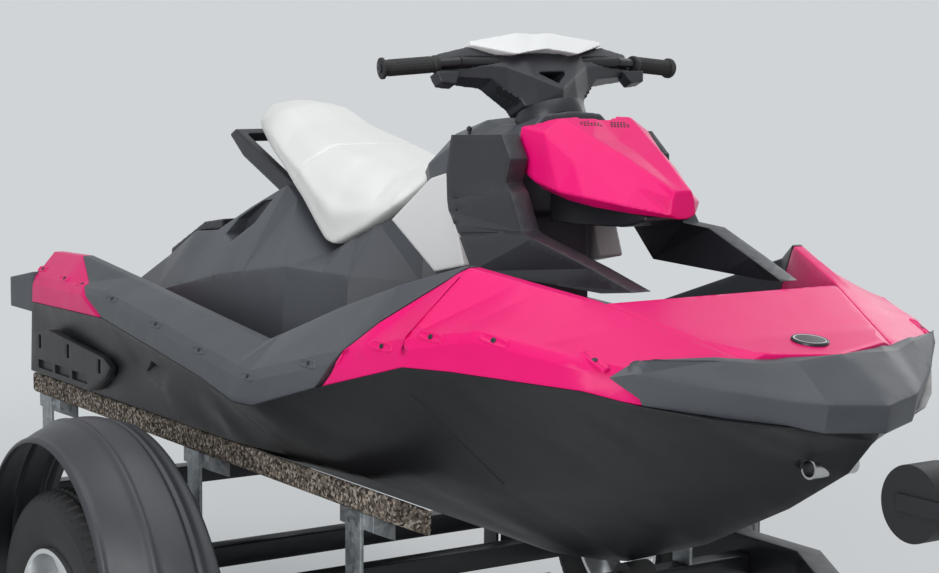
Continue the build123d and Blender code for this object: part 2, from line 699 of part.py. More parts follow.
def struts():
    inward = Vector(0, -STRUT_THICKNESS, 0)
    rings = []
    for rear_shares, front_shares in STRUT_SHARES:
        rear, front = place(*rear_shares), place(*front_shares)
        rings.append([rear, front, front + inward, rear + inward])
    body = faceted(rings)
    for groove in strut_grooves(rings):
        body -= groove
    return both_sides(body)


# Hood: x, then (y, z) of the lower edge, the side, the crease and the top edge, and z of the middle
HOOD_SHARES = [
    (0.681, (0.207, 0.742), (0.255, 0.756), (0.241, 0.826), (0.198, 0.837), 0.840),
    (0.704, (0.215, 0.714), (0.262, 0.731), (0.224, 0.818), (0.146, 0.844), 0.848),
    (0.731, (0.215, 0.700), (0.258, 0.716), (0.198, 0.772), (0.117, 0.813), 0.803),
    (0.753, (0.189, 0.691), (0.232, 0.710), (0.158, 0.756), (0.090, 0.788), 0.782),
    (0.778, (0.120, 0.682), (0.164, 0.698), (0.103, 0.728), (0.059, 0.755), 0.750),
    (0.801, (0.021, 0.675), (0.052, 0.682), (0.045, 0.710), (0.034, 0.725), 0.725),
]
HOOD_NOTCH_RADIUS = 151.0


def hood():
    """The painted hood, hollowed behind round the steering."""
    frame = steering_plane(-CRAFT_HEIGHT / 2)
    notch = Solid.make_cylinder(HOOD_NOTCH_RADIUS, CRAFT_HEIGHT, Plane(frame.origin, z_dir=frame.y_dir))
    return ribbed(HOOD_SHARES) - notch


# Tower that carries the steering: x, then (y, z) of the lower edge, the side and the top edge, middle z
TOWER_SHARES = [
    (0.527, (0.138, 0.686), (0.155, 0.710), (0.077, 0.742), 0.748),
    (0.559, (0.207, 0.649), (0.232, 0.742), (0.112, 0.800), 0.807),
    (0.609, (0.258, 0.649), (0.267, 0.793), (0.138, 0.832), 0.838),
    (0.627, (0.258, 0.649), (0.267, 0.788), (0.146, 0.824), 0.827),
    (0.651, (0.258, 0.649), (0.267, 0.793), (0.146, 0.828), 0.831),
    (0.676, (0.207, 0.668), (0.241, 0.788), (0.120, 0.849), 0.855),
]
HOOD_PAN_SHARES = [
    (0.676, 0.649), (0.710, 0.649), (0.760, 0.655), (0.785, 0.670), (0.785, 0.705), (0.676, 0.742),
]
HOOD_PAN_WIDTH_SHARE = 0.095
# Post for the safety lanyard on the tower's starboard shoulder
LANYARD_SHARES = (0.614, -0.232, 0.790)
LANYARD_RADIUS = 3.5
LANYARD_HEIGHT = 28.0
LANYARD_BALL_RADIUS = 6.0
LANYARD_SIDES = 18
# Angles from straight down at which the ball's bands meet
LANYARD_BALL_ANGLES = [40.0, 60.0, 90.0, 120.0, 150.0, 170.0]


def tower():
    """The console behind the hood, whose top carries the steering collar."""
    frame = steering_plane(-SEAT_GAP)
    room = Solid.make_cylinder(NECK_RADIUS + NECK_CLEARANCE, CRAFT_HEIGHT,
                               Plane(frame.origin, z_dir=frame.y_dir))
    body = ribbed(TOWER_SHARES)
    for piece in [seat(), pedestal(), room, lanyard_post()] + struts() + knee_trims():
        body -= piece
    return body


def lanyard_post():
    """The post that the safety cord clips on: a round stem with a ball end."""
    profile = [(LANYARD_RADIUS, 0)]
    for degrees in LANYARD_BALL_ANGLES:
        profile.append((LANYARD_BALL_RADIUS * sin(radians(degrees)),
                        LANYARD_HEIGHT - LANYARD_BALL_RADIUS * cos(radians(degrees))))
    foot = place(*LANYARD_SHARES)
    return faceted([[foot + Vector(radius * cos(2 * pi * k / LANYARD_SIDES),
                                   radius * sin(2 * pi * k / LANYARD_SIDES), height)
                     for k in range(LANYARD_SIDES)] for radius, height in profile])


def hood_pan():
    """The dark tray that closes the hood from below, on the tower's front."""
    outline = side_outline(HOOD_PAN_SHARES)
    half = HOOD_PAN_WIDTH_SHARE * HALF_BEAM
    return prism_y(outline, -half, half) - hood() - tower()


# Knee trims beside the pedestal, in front of the seat
KNEE_OUTLINE_SHARES = [(0.546, 0.632), (0.606, 0.544), (0.645, 0.565), (0.620, 0.735),
                       (0.600, 0.722)]
KNEE_OUTER_Y = 205.0
KNEE_THICKNESS = 60.0


def knee_trims():
    outline = side_outline(KNEE_OUTLINE_SHARES)
    return both_sides(prism_y(outline, KNEE_OUTER_Y - KNEE_THICKNESS, KNEE_OUTER_Y) - struts()[0])


# Steering: the axis leans back, and the Y-shaped cover and the bar turn about it.
# Its tables are in shares of the cover's half width, height and depth: across, up the axis, ahead.
STEER_SHARES = (0.651, 0.000, 0.826)
STEER_RAKE = 24.0
NECK_RADIUS = 73.0
NECK_LENGTH = 30.0
NECK_CLEARANCE = 6.0
COVER_HALF_WIDTH = 239.0
COVER_HEIGHT = 176.0
COVER_DEPTH = 62.0
COVER_REAR_SHARE = -0.613
# Across, then (up, ahead) of the lower edge, the crease and the upper edge of the cover's front
COVER_SHARES = [
    (0.000, (0.170, 0.840), (0.295, 1.000), (0.850, 0.320)),
    (0.209, (0.170, 0.580), (0.477, 0.742), (0.850, 0.355)),
    (0.427, (0.170, 0.130), (0.659, 0.435), (0.864, 0.258)),
    (0.711, (0.341, 0.032), (0.716, 0.226), (0.955, 0.129)),
    (1.000, (0.568, -0.129), (0.750, 0.032), (0.892, -0.065)),
]
# Outline of the cover's port half seen from the front, and its window: across and up
COVER_OUTLINE_SHARES = [
    (0.310, 0.170), (0.335, 0.256), (0.561, 0.534), (0.970, 0.608), (1.000, 0.892), (0.699, 1.000),
]
COVER_WINDOW_SHARES = [(0.000, 0.392), (0.155, 0.562)]
# Pad: across, then (ahead, up) of the front's lower and upper edge, the ridge, the rear and its foot
PAD_SHARES = [
    (0.000, (0.742, 0.841), (0.548, 0.938), (0.210, 1.114), (-0.677, 1.034), (-0.710, 0.909)),
    (0.184, (0.742, 0.807), (0.645, 0.852), (0.210, 1.131), (-0.677, 1.045), (-0.710, 0.909)),
    (0.318, (0.742, 0.773), (0.677, 0.812), (0.210, 1.097), (-0.677, 1.023), (-0.710, 0.909)),
    (0.690, (0.258, 0.955), (0.242, 0.977), (0.226, 1.017), (-0.613, 1.011), (-0.645, 0.943)),
]
BAR_RADIUS = 11.0
BAR_UP = 133.0
BAR_AHEAD = 10.0
BAR_ELBOW_Y = 200.0
BAR_HALF_WIDTH = 368.0
BAR_SWEEP = 32.0
GRIP_RADIUS = 17.0
GRIP_FLANGE_RADIUS = 21.5
GRIP_FLANGE_LENGTH = 8.0
GRIP_LENGTH = 125.0
# Lever below each grip's inner end: across, up and ahead of its outline's corners
LEVER_SHARES = [(0.860, 0.640), (0.930, 0.480), (1.070, 0.500), (1.100, 0.640)]
LEVER_DEPTH = 30.0
DISPLAY_WIDTH = 96.0
DISPLAY_HEIGHT = 46.0
DISPLAY_DEPTH = 22.0


def steering_plane(lift):
    """The plane of the cover: X across, Y up the leaning axis and Z ahead."""
    axis = Vector(-sin(radians(STEER_RAKE)), 0, cos(radians(STEER_RAKE)))
    return Plane(origin=place(*STEER_SHARES) + axis * lift, x_dir=(0, 1, 0),
                 z_dir=Vector(0, 1, 0).cross(axis))


def steered(across, up, ahead):
    """A point that turns with the bar."""
    return steering_plane(0).from_local_coords(Vector(across, up, ahead))


def steering_neck():
    """The round collar that turns on top of the tower."""
    frame = steering_plane(0)
    return Solid.make_cylinder(NECK_RADIUS, NECK_LENGTH, Plane(frame.origin, z_dir=frame.y_dir))


def cover_slab(outline_shares):
    """An outline seen from the front, pushed through the whole depth of the cover."""
    rear = (COVER_REAR_SHARE - 1) * COVER_DEPTH
    corners = [steered(x * COVER_HALF_WIDTH, y * COVER_HEIGHT, rear) for x, y in outline_shares]
    push = steered(0, 0, 2 * COVER_DEPTH) - steered(0, 0, rear)
    return Solid.extrude(Face(Wire.make_polygon(corners)), push)


def mirrored_outline(half):
    return half + [(-x, y) for x, y in reversed(half) if x > 0]


def bar_cover():
    """The cover's two arms, its beam and the window between them, less the bar's own room."""
    rings = []
    for across, *front in COVER_SHARES:
        rear = [(front[-1][0], COVER_REAR_SHARE), (front[0][0], COVER_REAR_SHARE)]
        rings.append([steered(across * COVER_HALF_WIDTH, up * COVER_HEIGHT, ahead * COVER_DEPTH)
                      for up, ahead in front + rear])
    rings = [[mirrored_point(point) for point in ring] for ring in reversed(rings[1:])] + rings
    cover = faceted(rings) & cover_slab(mirrored_outline(COVER_OUTLINE_SHARES))
    cover -= cover_slab(mirrored_outline(COVER_WINDOW_SHARES))
    for piece in bar_rods() + [bar_pad(), steering_neck()]:
        cover -= piece
    return cover


def bar_points():
    """The bar's middle, its elbow at the cover's side and its end, port side."""
    return (steered(0, BAR_UP, BAR_AHEAD), steered(BAR_ELBOW_Y, BAR_UP, BAR_AHEAD),
            steered(BAR_HALF_WIDTH, BAR_UP, BAR_AHEAD - BAR_SWEEP))


def bar_rods():
    middle, elbow, end = bar_points()
    return both_sides(rod(middle, elbow, BAR_RADIUS) + rod(elbow, end, BAR_RADIUS))


def handlebar():
    port, starboard = bar_rods()
    return port + starboard


def grips():
    """Rubber grips with a flange at their outer ends."""
    _, elbow, end = bar_points()
    inward = (elbow - end).normalized()
    grip = rod(end + inward * GRIP_LENGTH, end, GRIP_RADIUS)
    grip += rod(end + inward * GRIP_FLANGE_LENGTH, end, GRIP_FLANGE_RADIUS)
    return both_sides(grip - rod(elbow, end, BAR_RADIUS))


def levers():
    """The throttle and brake levers' pods, under the grips' inner ends."""
    corners = [steered(x * COVER_HALF_WIDTH, y * COVER_HEIGHT, -LEVER_DEPTH / 2) for x, y in LEVER_SHARES]
    push = steered(0, 0, LEVER_DEPTH) - steered(0, 0, 0)
    pod = Solid.extrude(Face(Wire.make_polygon(corners)), push)
    _, elbow, end = bar_points()
    return both_sides(pod - bar_cover() - rod(elbow, end, GRIP_RADIUS + SEAT_GAP))


def bar_pad():
    """The white pad over the bar, highest along its ridge."""
    rings = []
    for across, *section in PAD_SHARES:
        rings.append([steered(across * COVER_HALF_WIDTH, up * COVER_HEIGHT, ahead * COVER_DEPTH)
                      for ahead, up in section])
    return faceted([[mirrored_point(point) for point in ring] for ring in reversed(rings[1:])] + rings)


def display():
    """The rider's display on the rear of the cover, under the pad."""
    top = COVER_SHARES[0][3][0] * COVER_HEIGHT - PANEL_GAP
    rear = COVER_REAR_SHARE * COVER_DEPTH - SEAT_GAP
    half = DISPLAY_WIDTH / 2
    corners = [steered(x, y, rear) for x, y in
               ((-half, top), (half, top), (half, top - DISPLAY_HEIGHT), (-half, top - DISPLAY_HEIGHT))]
    push = steered(0, 0, -DISPLAY_DEPTH) - steered(0, 0, 0)
    return Solid.extrude(Face(Wire.make_polygon(corners)), push) - bar_pad()


# Water jet pieces
def jet_plane(x):
    return Plane(origin=(x, 0, PUMP_AXIS_Z), z_dir=(1, 0, 0))


def stator():
    """The straight vanes behind the impeller and the hub that they hold."""
    start = stern_x() + PUMP_LENGTH - IMPELLER_LENGTH - STATOR_GAP - STATOR_LENGTH
    body = Solid.make_cylinder(IMPELLER_HUB_RADIUS, STATOR_LENGTH, jet_plane(start))
    reach = PUMP_RADIUS - PUMP_WALL / 2
    for k in range(STATOR_COUNT):
        vane = Pos(0, 0, reach / 2) * Box(STATOR_LENGTH, STATOR_THICKNESS, reach)
        body += Pos(start + STATOR_LENGTH / 2, 0, PUMP_AXIS_Z) * Rot(360 * k / STATOR_COUNT, 0, 0) * vane
    return body


def pump_housing():
    """The jet's tube with its front flange, its stator and the ears that the nozzle pivots on."""
    stern = stern_x()
    tube = Solid.make_cylinder(PUMP_RADIUS, PUMP_LENGTH, jet_plane(stern))
    ear_low = NOZZLE_RADIUS + EAR_GAP
    for end in (-1, 1):
        tube += box(nozzle_pin_x() - 2 * NOZZLE_PIN_RADIUS, stern + EAR_THICKNESS,
                    -2 * NOZZLE_PIN_RADIUS, 2 * NOZZLE_PIN_RADIUS,
                    PUMP_AXIS_Z + end * ear_low, PUMP_AXIS_Z + end * PUMP_RADIUS)
    for pin in nozzle_pins(NOZZLE_PIN_RADIUS, pin_floor() + SEAT_GAP, PUMP_RADIUS - NOZZLE_WALL):
        tube += pin
    tube += Solid.make_cylinder(FLANGE_RADIUS, FLANGE_LENGTH, jet_plane(stern + PUMP_LENGTH))
    bore = Solid.make_cylinder(PUMP_RADIUS - PUMP_WALL, PUMP_LENGTH + CUT_OVERRUN, jet_plane(stern))
    return tube - bore + stator()


def impeller():
    start = stern_x() + PUMP_LENGTH - IMPELLER_LENGTH
    hub = Solid.make_cylinder(IMPELLER_HUB_RADIUS, IMPELLER_LENGTH, jet_plane(start))
    reach = PUMP_RADIUS - PUMP_WALL - IMPELLER_TIP_GAP
    body = hub
    for k in range(BLADE_COUNT):
        blade = Pos(0, 0, (IMPELLER_HUB_RADIUS + reach) / 2) * Rot(0, 0, BLADE_PITCH) * Box(
            IMPELLER_LENGTH * cos(radians(BLADE_PITCH)), BLADE_THICKNESS, reach - IMPELLER_HUB_RADIUS / 2)
        turned = Rot(360 * k / BLADE_COUNT, 0, 0) * blade
        body += Pos(start + IMPELLER_LENGTH / 2, 0, PUMP_AXIS_Z) * turned
    return body & Solid.make_cylinder(reach, IMPELLER_LENGTH, jet_plane(start))


def nozzle_pin_x():
    return stern_x() - NOZZLE_GAP - NOZZLE_PIN_X


def pin_floor():
    """Distance from the jet's axis to the floor of the holes that the pivot pins turn in."""
    return NOZZLE_RADIUS - NOZZLE_WALL / 2


def nozzle_pins(radius, low, high):
    """Upright rods above and below the jet's axis, between two distances from it."""
    x = nozzle_pin_x()
    return [rod((x, 0, PUMP_AXIS_Z + end * low), (x, 0, PUMP_AXIS_Z + end * high), radius)
            for end in (-1, 1)]


def nozzle():
    """The steering nozzle: a straight collar with bosses above and below, then a cone."""
    front = stern_x() - NOZZLE_GAP
    bend = front - NOZZLE_COLLAR_LENGTH
    end = front - NOZZLE_LENGTH
    profile = [
        (front, NOZZLE_RADIUS), (bend, NOZZLE_RADIUS), (end, NOZZLE_TIP_RADIUS),
        (end, NOZZLE_TIP_RADIUS - NOZZLE_WALL), (bend, NOZZLE_RADIUS - NOZZLE_WALL),
        (front, NOZZLE_RADIUS - NOZZLE_WALL),
    ]
    section = Face(Wire.make_polygon([Vector(x, 0, PUMP_AXIS_Z + radius) for x, radius in profile]))
    body = Solid.revolve(section, 360, Axis((0, 0, PUMP_AXIS_Z), (1, 0, 0)))
    for boss in nozzle_pins(2 * NOZZLE_PIN_RADIUS, pin_floor(), pin_floor() + EAR_GAP):
        body += boss
    for hole in nozzle_pins(NOZZLE_PIN_RADIUS + RUNNING_GAP, pin_floor(), PUMP_RADIUS):
        body -= hole
    return body


def ride_plate():
    """The plate that closes the tunnel below the pump."""
    half = TUNNEL_RADIUS - SEAT_GAP
    return bottom_plate(stern_x(), stern_x() + tunnel_length() - SEAT_GAP, half, RIDE_PLATE_THICKNESS)


# Trailer
AXLE_SHARE = 0.4265
TYRE_RADIUS = 290.0
TYRE_WIDTH = 165.0
TREAD_CORNER = 30.0
RIM_RADIUS = 165.0
RIM_WALL = 10.0
RIM_WINDOW_COUNT = 5
# Corners of a window in the rim's disc: shares of the rim's radius, and degrees from its middle
RIM_WINDOW_SHARES = [(0.480, 14.0), (0.830, 22.0)]
TRACK = 1525.0
WHEEL_CLEARANCE = 20.0
HUB_RADIUS = 60.0
HUB_LENGTH = 90.0
SPINDLE_RADIUS = 19.0
AXLE_SIZE = 50.0
FENDER_WALL = 6.0
FENDER_OVERHANG = 25.0
FENDER_FOOT = 115.0
FENDER_LIP_RADIUS = 315.0
FENDER_CHORDS = 24
# Mudguard's sections from the lip inwards: y between the outer and the inner edge, drop below
# the lip's centre, and radius, the last two in shares of the lip's radius
FENDER_SHARES = [(0.000, 0.000, 1.000), (0.341, 0.114, 1.222), (1.000, 0.463, 1.546)]
FENDER_LIP_RISE = 81.0
FENDER_FORWARD = 10.0
RAIL_WIDTH = 50.0
RAIL_HEIGHT = 90.0
RAIL_TOP = -60.0
RAIL_REAR_X = -60.0
RAIL_BEND_SHARE = 0.699
TONGUE_OVERLAP = 60.0
TONGUE_REACH = 1030.0
TONGUE_SIZE = 76.0
CROSS_SIZE = 50.0
CROSS_SHARES = [0.070, 0.374, 0.627]
BUNK_WIDTH = 85.0
BUNK_HEIGHT = 52.0
BUNK_INNER_Y = 360.0
BUNK_END_SHARES = (0.047, 0.690)
POST_WIDTH = 60.0
POST_THICKNESS = 8.0
POST_INSET = 12.0
POST_BLOCK_LENGTH = 130.0
POST_BLOCK_HEIGHT = 34.0
KEEL_ROLLER_SHARE = 0.753
# How much further ahead the keel's slope above the roller is taken
SLOPE_STEP_SHARE = 0.010
KEEL_ROLLER_RADIUS = 35.0
KEEL_ROLLER_WIDTH = 60.0
ROLLER_PIN_RADIUS = 8.0
CHEEK_THICKNESS = 6.0
JACK_REACH = 510.0
JACK_Y = 95.0
JACK_OUTER_RADIUS = 30.0
JACK_WALL = 4.0
JACK_TUBE_TOP = 180.0
JACK_TUBE_BOTTOM = -260.0
JACK_LEG_OVERLAP = 280.0
JACK_FOOT_RADIUS = 85.0
JACK_FOOT_THICKNESS = 8.0
CRANK_RADIUS = 7.0
CRANK_LENGTH = 130.0
CRANK_HANDLE_LENGTH = 80.0
ROLLER_AHEAD = 78.0
ROLLER_SHARE = 0.284
ROLLER_RADIUS = 66.0
ROLLER_WIDTH = 70.0
WINCH_POST_SPACING = 192.0
WINCH_POST_TOP = 420.0
WINCH_LENGTH = 110.0
WINCH_HEIGHT = 95.0
WINCH_WIDTH = 74.0
DRUM_RADIUS = 27.0
COUPLER_LENGTH = 150.0
BALL_RADIUS = 25.4
BALL_CLEARANCE = 0.4
SOCKET_DEPTH = 55.0
LATCH_HEIGHT = 22.0
LAMP_WIDTH = 130.0
LAMP_HEIGHT = 80.0
LAMP_DEPTH = 22.0


def wheel_height():
    return TYRE_RADIUS - KEEL_ABOVE_GROUND


def axle_x():
    return AXLE_SHARE * CRAFT_LENGTH


def rail_y():
    return TRACK / 2 - TYRE_WIDTH / 2 - WHEEL_CLEARANCE - RAIL_WIDTH / 2


def tongue_front_x():
    return CRAFT_LENGTH + TONGUE_REACH


def tyre(side):
    half = TYRE_WIDTH / 2
    y = TRACK / 2
    profile = [
        (y - half, RIM_RADIUS), (y - half, TYRE_RADIUS - TREAD_CORNER),
        (y - half + TREAD_CORNER, TYRE_RADIUS), (y + half - TREAD_CORNER, TYRE_RADIUS),
        (y + half, TYRE_RADIUS - TREAD_CORNER), (y + half, RIM_RADIUS),
    ]
    return revolved_y([(side * y, r) for y, r in profile], axle_x(), wheel_height())


def rim_windows(y0, y1):
    """Prisms that cut the windows between the spokes of a rim's disc."""
    (inner, inner_angle), (outer, outer_angle) = RIM_WINDOW_SHARES
    corners = [(inner, -inner_angle), (outer, -outer_angle), (outer, outer_angle), (inner, inner_angle)]
    cuts = []
    for k in range(RIM_WINDOW_COUNT):
        outline = []
        for share, degrees in corners:
            angle = radians(degrees + 360 * k / RIM_WINDOW_COUNT)
            outline.append((axle_x() + share * RIM_RADIUS * sin(angle),
                            wheel_height() + share * RIM_RADIUS * cos(angle)))
        cuts.append(prism_y(outline, y0, y1))
    return cuts


def rim(side):
    half = TYRE_WIDTH / 2
    y = TRACK / 2
    outer = RIM_RADIUS - SEAT_GAP / 2
    inner = outer - RIM_WALL
    bore = SPINDLE_RADIUS + SEAT_GAP
    profile = [
        (y - half, outer), (y + half, outer), (y + half, inner), (y + RIM_WALL, inner),
        (y + RIM_WALL, bore), (y + RIM_WALL - HUB_LENGTH, bore), (y + RIM_WALL - HUB_LENGTH, HUB_RADIUS),
        (y, HUB_RADIUS), (y, inner), (y - half, inner),
    ]
    body = revolved_y([(side * y, r) for y, r in profile], axle_x(), wheel_height())
    for window in rim_windows(side * (y - RIM_WALL), side * (y + 2 * RIM_WALL)):
        body -= window
    return body


def axle():
    z = wheel_height()
    half = AXLE_SIZE / 2
    x = axle_x()
    inner_y = TRACK / 2 + RIM_WALL - HUB_LENGTH - RIM_WALL
    beam = box(x - half, x + half, -inner_y, inner_y, z - half, z + half)
    for seat_pad in both_sides(box(x - AXLE_SIZE, x + AXLE_SIZE, rail_y() - RAIL_WIDTH / 2,
                                   rail_y() + RAIL_WIDTH / 2, z, RAIL_TOP - RAIL_HEIGHT - SEAT_GAP)):
        beam += seat_pad
    outer_y = TRACK / 2
    return beam + rod((x, -outer_y, z), (x, outer_y, z), SPINDLE_RADIUS)


def fender_edges():
    """The y of the mudguard's outer and inner edges."""
    return TRACK / 2 + TYRE_WIDTH / 2 + FENDER_OVERHANG, rail_y() + RAIL_WIDTH / 2 + PANEL_GAP


def fender_foot_z():
    return wheel_height() - FENDER_FOOT


def fender_section(y_share, drop_share, radius_share):
    """One section of a mudguard: an arch of equal chords on two straight legs, one wall thick."""
    outer_y, inner_y = fender_edges()
    y = outer_y + y_share * (inner_y - outer_y)
    z = wheel_height() + FENDER_LIP_RISE - drop_share * FENDER_LIP_RADIUS
    x = axle_x() + FENDER_FORWARD
    foot = fender_foot_z()
    lines = []
    for radius in (radius_share * FENDER_LIP_RADIUS, radius_share * FENDER_LIP_RADIUS - FENDER_WALL):
        angles = [pi * k / FENDER_CHORDS for k in range(FENDER_CHORDS + 1)]
        arch = [Vector(x - radius * cos(angle), y, z + radius * sin(angle)) for angle in angles]
        lines.append([Vector(x - radius, y, foot)] + arch + [Vector(x + radius, y, foot)])
    outer, inner = lines
    return outer + list(reversed(inner))


def fenders():
    """Moulded mudguards that flare from the lip over the tyre in to the frame rail."""
    return both_sides(faceted([fender_section(*row) for row in FENDER_SHARES]))


def fender_brackets():
    """Bent brackets that carry the mudguards' feet from the underside of the frame rails."""
    top = fender_foot_z() - SEAT_GAP
    low = top - POST_THICKNESS
    outer_y, inner_y = fender_edges()
    shoulder_y = outer_y + FENDER_SHARES[1][0] * (inner_y - outer_y)
    radius = FENDER_SHARES[-1][2] * FENDER_LIP_RADIUS
    shoulder = FENDER_SHARES[1][2] * FENDER_LIP_RADIUS
    pieces = []
    for end in (-1, 1):
        x0 = axle_x() + FENDER_FORWARD + end * (radius + POST_THICKNESS)
        x1 = axle_x() + FENDER_FORWARD + end * (shoulder - POST_WIDTH / 2)
        inner = rail_y() - RAIL_WIDTH / 2
        foot = prism_z([(x0, inner), (x0, inner + RAIL_WIDTH + POST_WIDTH), (x1, shoulder_y),
                        (x1 - end * POST_WIDTH, shoulder_y), (x1 - end * POST_WIDTH, inner)], low, top)
        leg = box(x0, x0 - end * POST_WIDTH, inner, inner + POST_THICKNESS, low,
                  RAIL_TOP - RAIL_HEIGHT - SEAT_GAP)
        pieces += both_sides(foot + leg)
    return pieces


def lamp_place():
    """The lower inner corner of the port tail lamp, in y and z."""
    return rail_y() + RAIL_WIDTH / 2, RAIL_TOP - RAIL_HEIGHT


def frame_rails():
    """The side rails, straight beside the wheels and then drawn in to the tongue, with lamp plates."""
    half = RAIL_WIDTH / 2
    inner = TONGUE_SIZE / 2 + PANEL_GAP
    bend = RAIL_BEND_SHARE * CRAFT_LENGTH
    end = CRAFT_LENGTH + TONGUE_OVERLAP
    outline = [
        (RAIL_REAR_X, rail_y() - half), (RAIL_REAR_X, rail_y() + half), (bend, rail_y() + half),
        (end + 2 * RAIL_WIDTH, inner), (end, inner), (bend - half, rail_y() - half),
    ]
    rail = prism_z(outline, RAIL_TOP - RAIL_HEIGHT, RAIL_TOP)
    y, z = lamp_place()
    x = RAIL_REAR_X + LAMP_DEPTH + SEAT_GAP
    rail += box(x, x + POST_THICKNESS, y - half, y + LAMP_WIDTH, z, z + LAMP_HEIGHT)
    return both_sides(rail)


def tail_lamps():
    """Plain tail lamps on the plates at the rails' rear ends."""
    y, z = lamp_place()
    lamp = box(RAIL_REAR_X, RAIL_REAR_X + LAMP_DEPTH, y + SEAT_GAP, y + LAMP_WIDTH, z, z + LAMP_HEIGHT)
    return both_sides(lamp)


def keel_roller_centre():
    """The centre of the roller that the rising keel rests on."""
    start = along(KEEL_SHARES, KEEL_ROLLER_SHARE)
    ahead = (along(KEEL_SHARES, KEEL_ROLLER_SHARE + SLOPE_STEP_SHARE) - start).normalized()
    return start + Vector(ahead.Z, 0, -ahead.X) * (KEEL_ROLLER_RADIUS + SEAT_GAP)


def across_rod(centre, half_width, radius):
    """A round bar across the craft about a centre point."""
    half = Vector(0, half_width, 0)
    return rod(centre - half, centre + half, radius)


def keel_roller():
    centre = keel_roller_centre()
    half = KEEL_ROLLER_WIDTH / 2
    bore = across_rod(centre, half, ROLLER_PIN_RADIUS + SEAT_GAP)
    return across_rod(centre, half, KEEL_ROLLER_RADIUS) - bore


def tongue():
    """The square beam from the last crossmember to the coupler, with the keel roller's cheeks."""
    half = TONGUE_SIZE / 2
    top = RAIL_TOP - PANEL_GAP
    beam = box(CROSS_SHARES[-1] * CRAFT_LENGTH + CROSS_SIZE / 2 + PANEL_GAP, tongue_front_x(), -half, half,
               RAIL_TOP - RAIL_HEIGHT, top)
    centre = keel_roller_centre()
    y = KEEL_ROLLER_WIDTH / 2 + SEAT_GAP
    cheek = box(centre.X - KEEL_ROLLER_RADIUS / 2, centre.X + KEEL_ROLLER_RADIUS / 2,
                y, y + CHEEK_THICKNESS, top, centre.Z + 2 * ROLLER_PIN_RADIUS)
    port, starboard = both_sides(cheek)
    return beam + port + starboard + across_rod(centre, y + CHEEK_THICKNESS, ROLLER_PIN_RADIUS)


def crossmembers():
    inner = rail_y() - RAIL_WIDTH / 2 - PANEL_GAP
    return [
        box(share * CRAFT_LENGTH - CROSS_SIZE / 2, share * CRAFT_LENGTH + CROSS_SIZE / 2,
            -inner, inner, RAIL_TOP - RAIL_HEIGHT, RAIL_TOP - RAIL_HEIGHT + CROSS_SIZE)
        for share in CROSS_SHARES
    ]


def bunks():
    slope = bottom_slope()
    outer = BUNK_INNER_Y + BUNK_WIDTH
    outline = [
        (BUNK_INNER_Y, BUNK_INNER_Y * slope - SEAT_GAP),
        (outer, outer * slope - SEAT_GAP),
        (outer, outer * slope - SEAT_GAP - BUNK_HEIGHT),
        (BUNK_INNER_Y, BUNK_INNER_Y * slope - SEAT_GAP - BUNK_HEIGHT),
    ]
    rear, front = [share * CRAFT_LENGTH for share in BUNK_END_SHARES]
    return both_sides(prism_x(outline, rear, front))


def bunk_posts():
    """Flat posts from the crossmembers up to the bunks, each with a block that the bunk lies on."""
    slope = bottom_slope()
    y2 = BUNK_INNER_Y + BUNK_WIDTH - POST_INSET
    y1 = y2 - POST_THICKNESS
    y0 = BUNK_INNER_Y + POST_INSET
    foot = RAIL_TOP - RAIL_HEIGHT + CROSS_SIZE + SEAT_GAP
    drop = 2 * SEAT_GAP + BUNK_HEIGHT
    post = [(y1, foot), (y2, foot), (y2, y2 * slope - drop), (y1, y1 * slope - drop)]
    block = [(y0, y0 * slope - drop - POST_BLOCK_HEIGHT), (y1, y1 * slope - drop - POST_BLOCK_HEIGHT),
             (y1, y1 * slope - drop), (y0, y0 * slope - drop)]
    pieces = []
    for share in CROSS_SHARES:
        x = share * CRAFT_LENGTH
        carrier = prism_x(post, x - POST_WIDTH / 2, x + POST_WIDTH / 2)
        carrier += prism_x(block, x - POST_BLOCK_LENGTH / 2, x + POST_BLOCK_LENGTH / 2)
        pieces += both_sides(carrier)
    return pieces


def bow_roller_centre():
    return Vector(CRAFT_LENGTH + ROLLER_AHEAD, 0, ROLLER_SHARE * CRAFT_HEIGHT)


def winch_post():
    """The post on the tongue with the two arms that hold the bow roller on its pin."""
    half = POST_WIDTH / 2
    centre = bow_roller_centre()
    x = centre.X + WINCH_POST_SPACING
    post = box(x - half, x + half, -half, half, RAIL_TOP, WINCH_POST_TOP)
    low, high = centre.Z - half / 2, centre.Z + half / 2
    y = ROLLER_WIDTH / 2 + SEAT_GAP
    post += box(x - half, x, -y - CHEEK_THICKNESS, y + CHEEK_THICKNESS, low, high)
    for cheek in both_sides(box(centre.X - half, x, y, y + CHEEK_THICKNESS, low, high)):
        post += cheek
    return post + across_rod(centre, y + CHEEK_THICKNESS, ROLLER_PIN_RADIUS)


def bow_roller():
    centre = bow_roller_centre()
    half = ROLLER_WIDTH / 2
    return across_rod(centre, half, ROLLER_RADIUS) - across_rod(centre, half, ROLLER_PIN_RADIUS + SEAT_GAP)


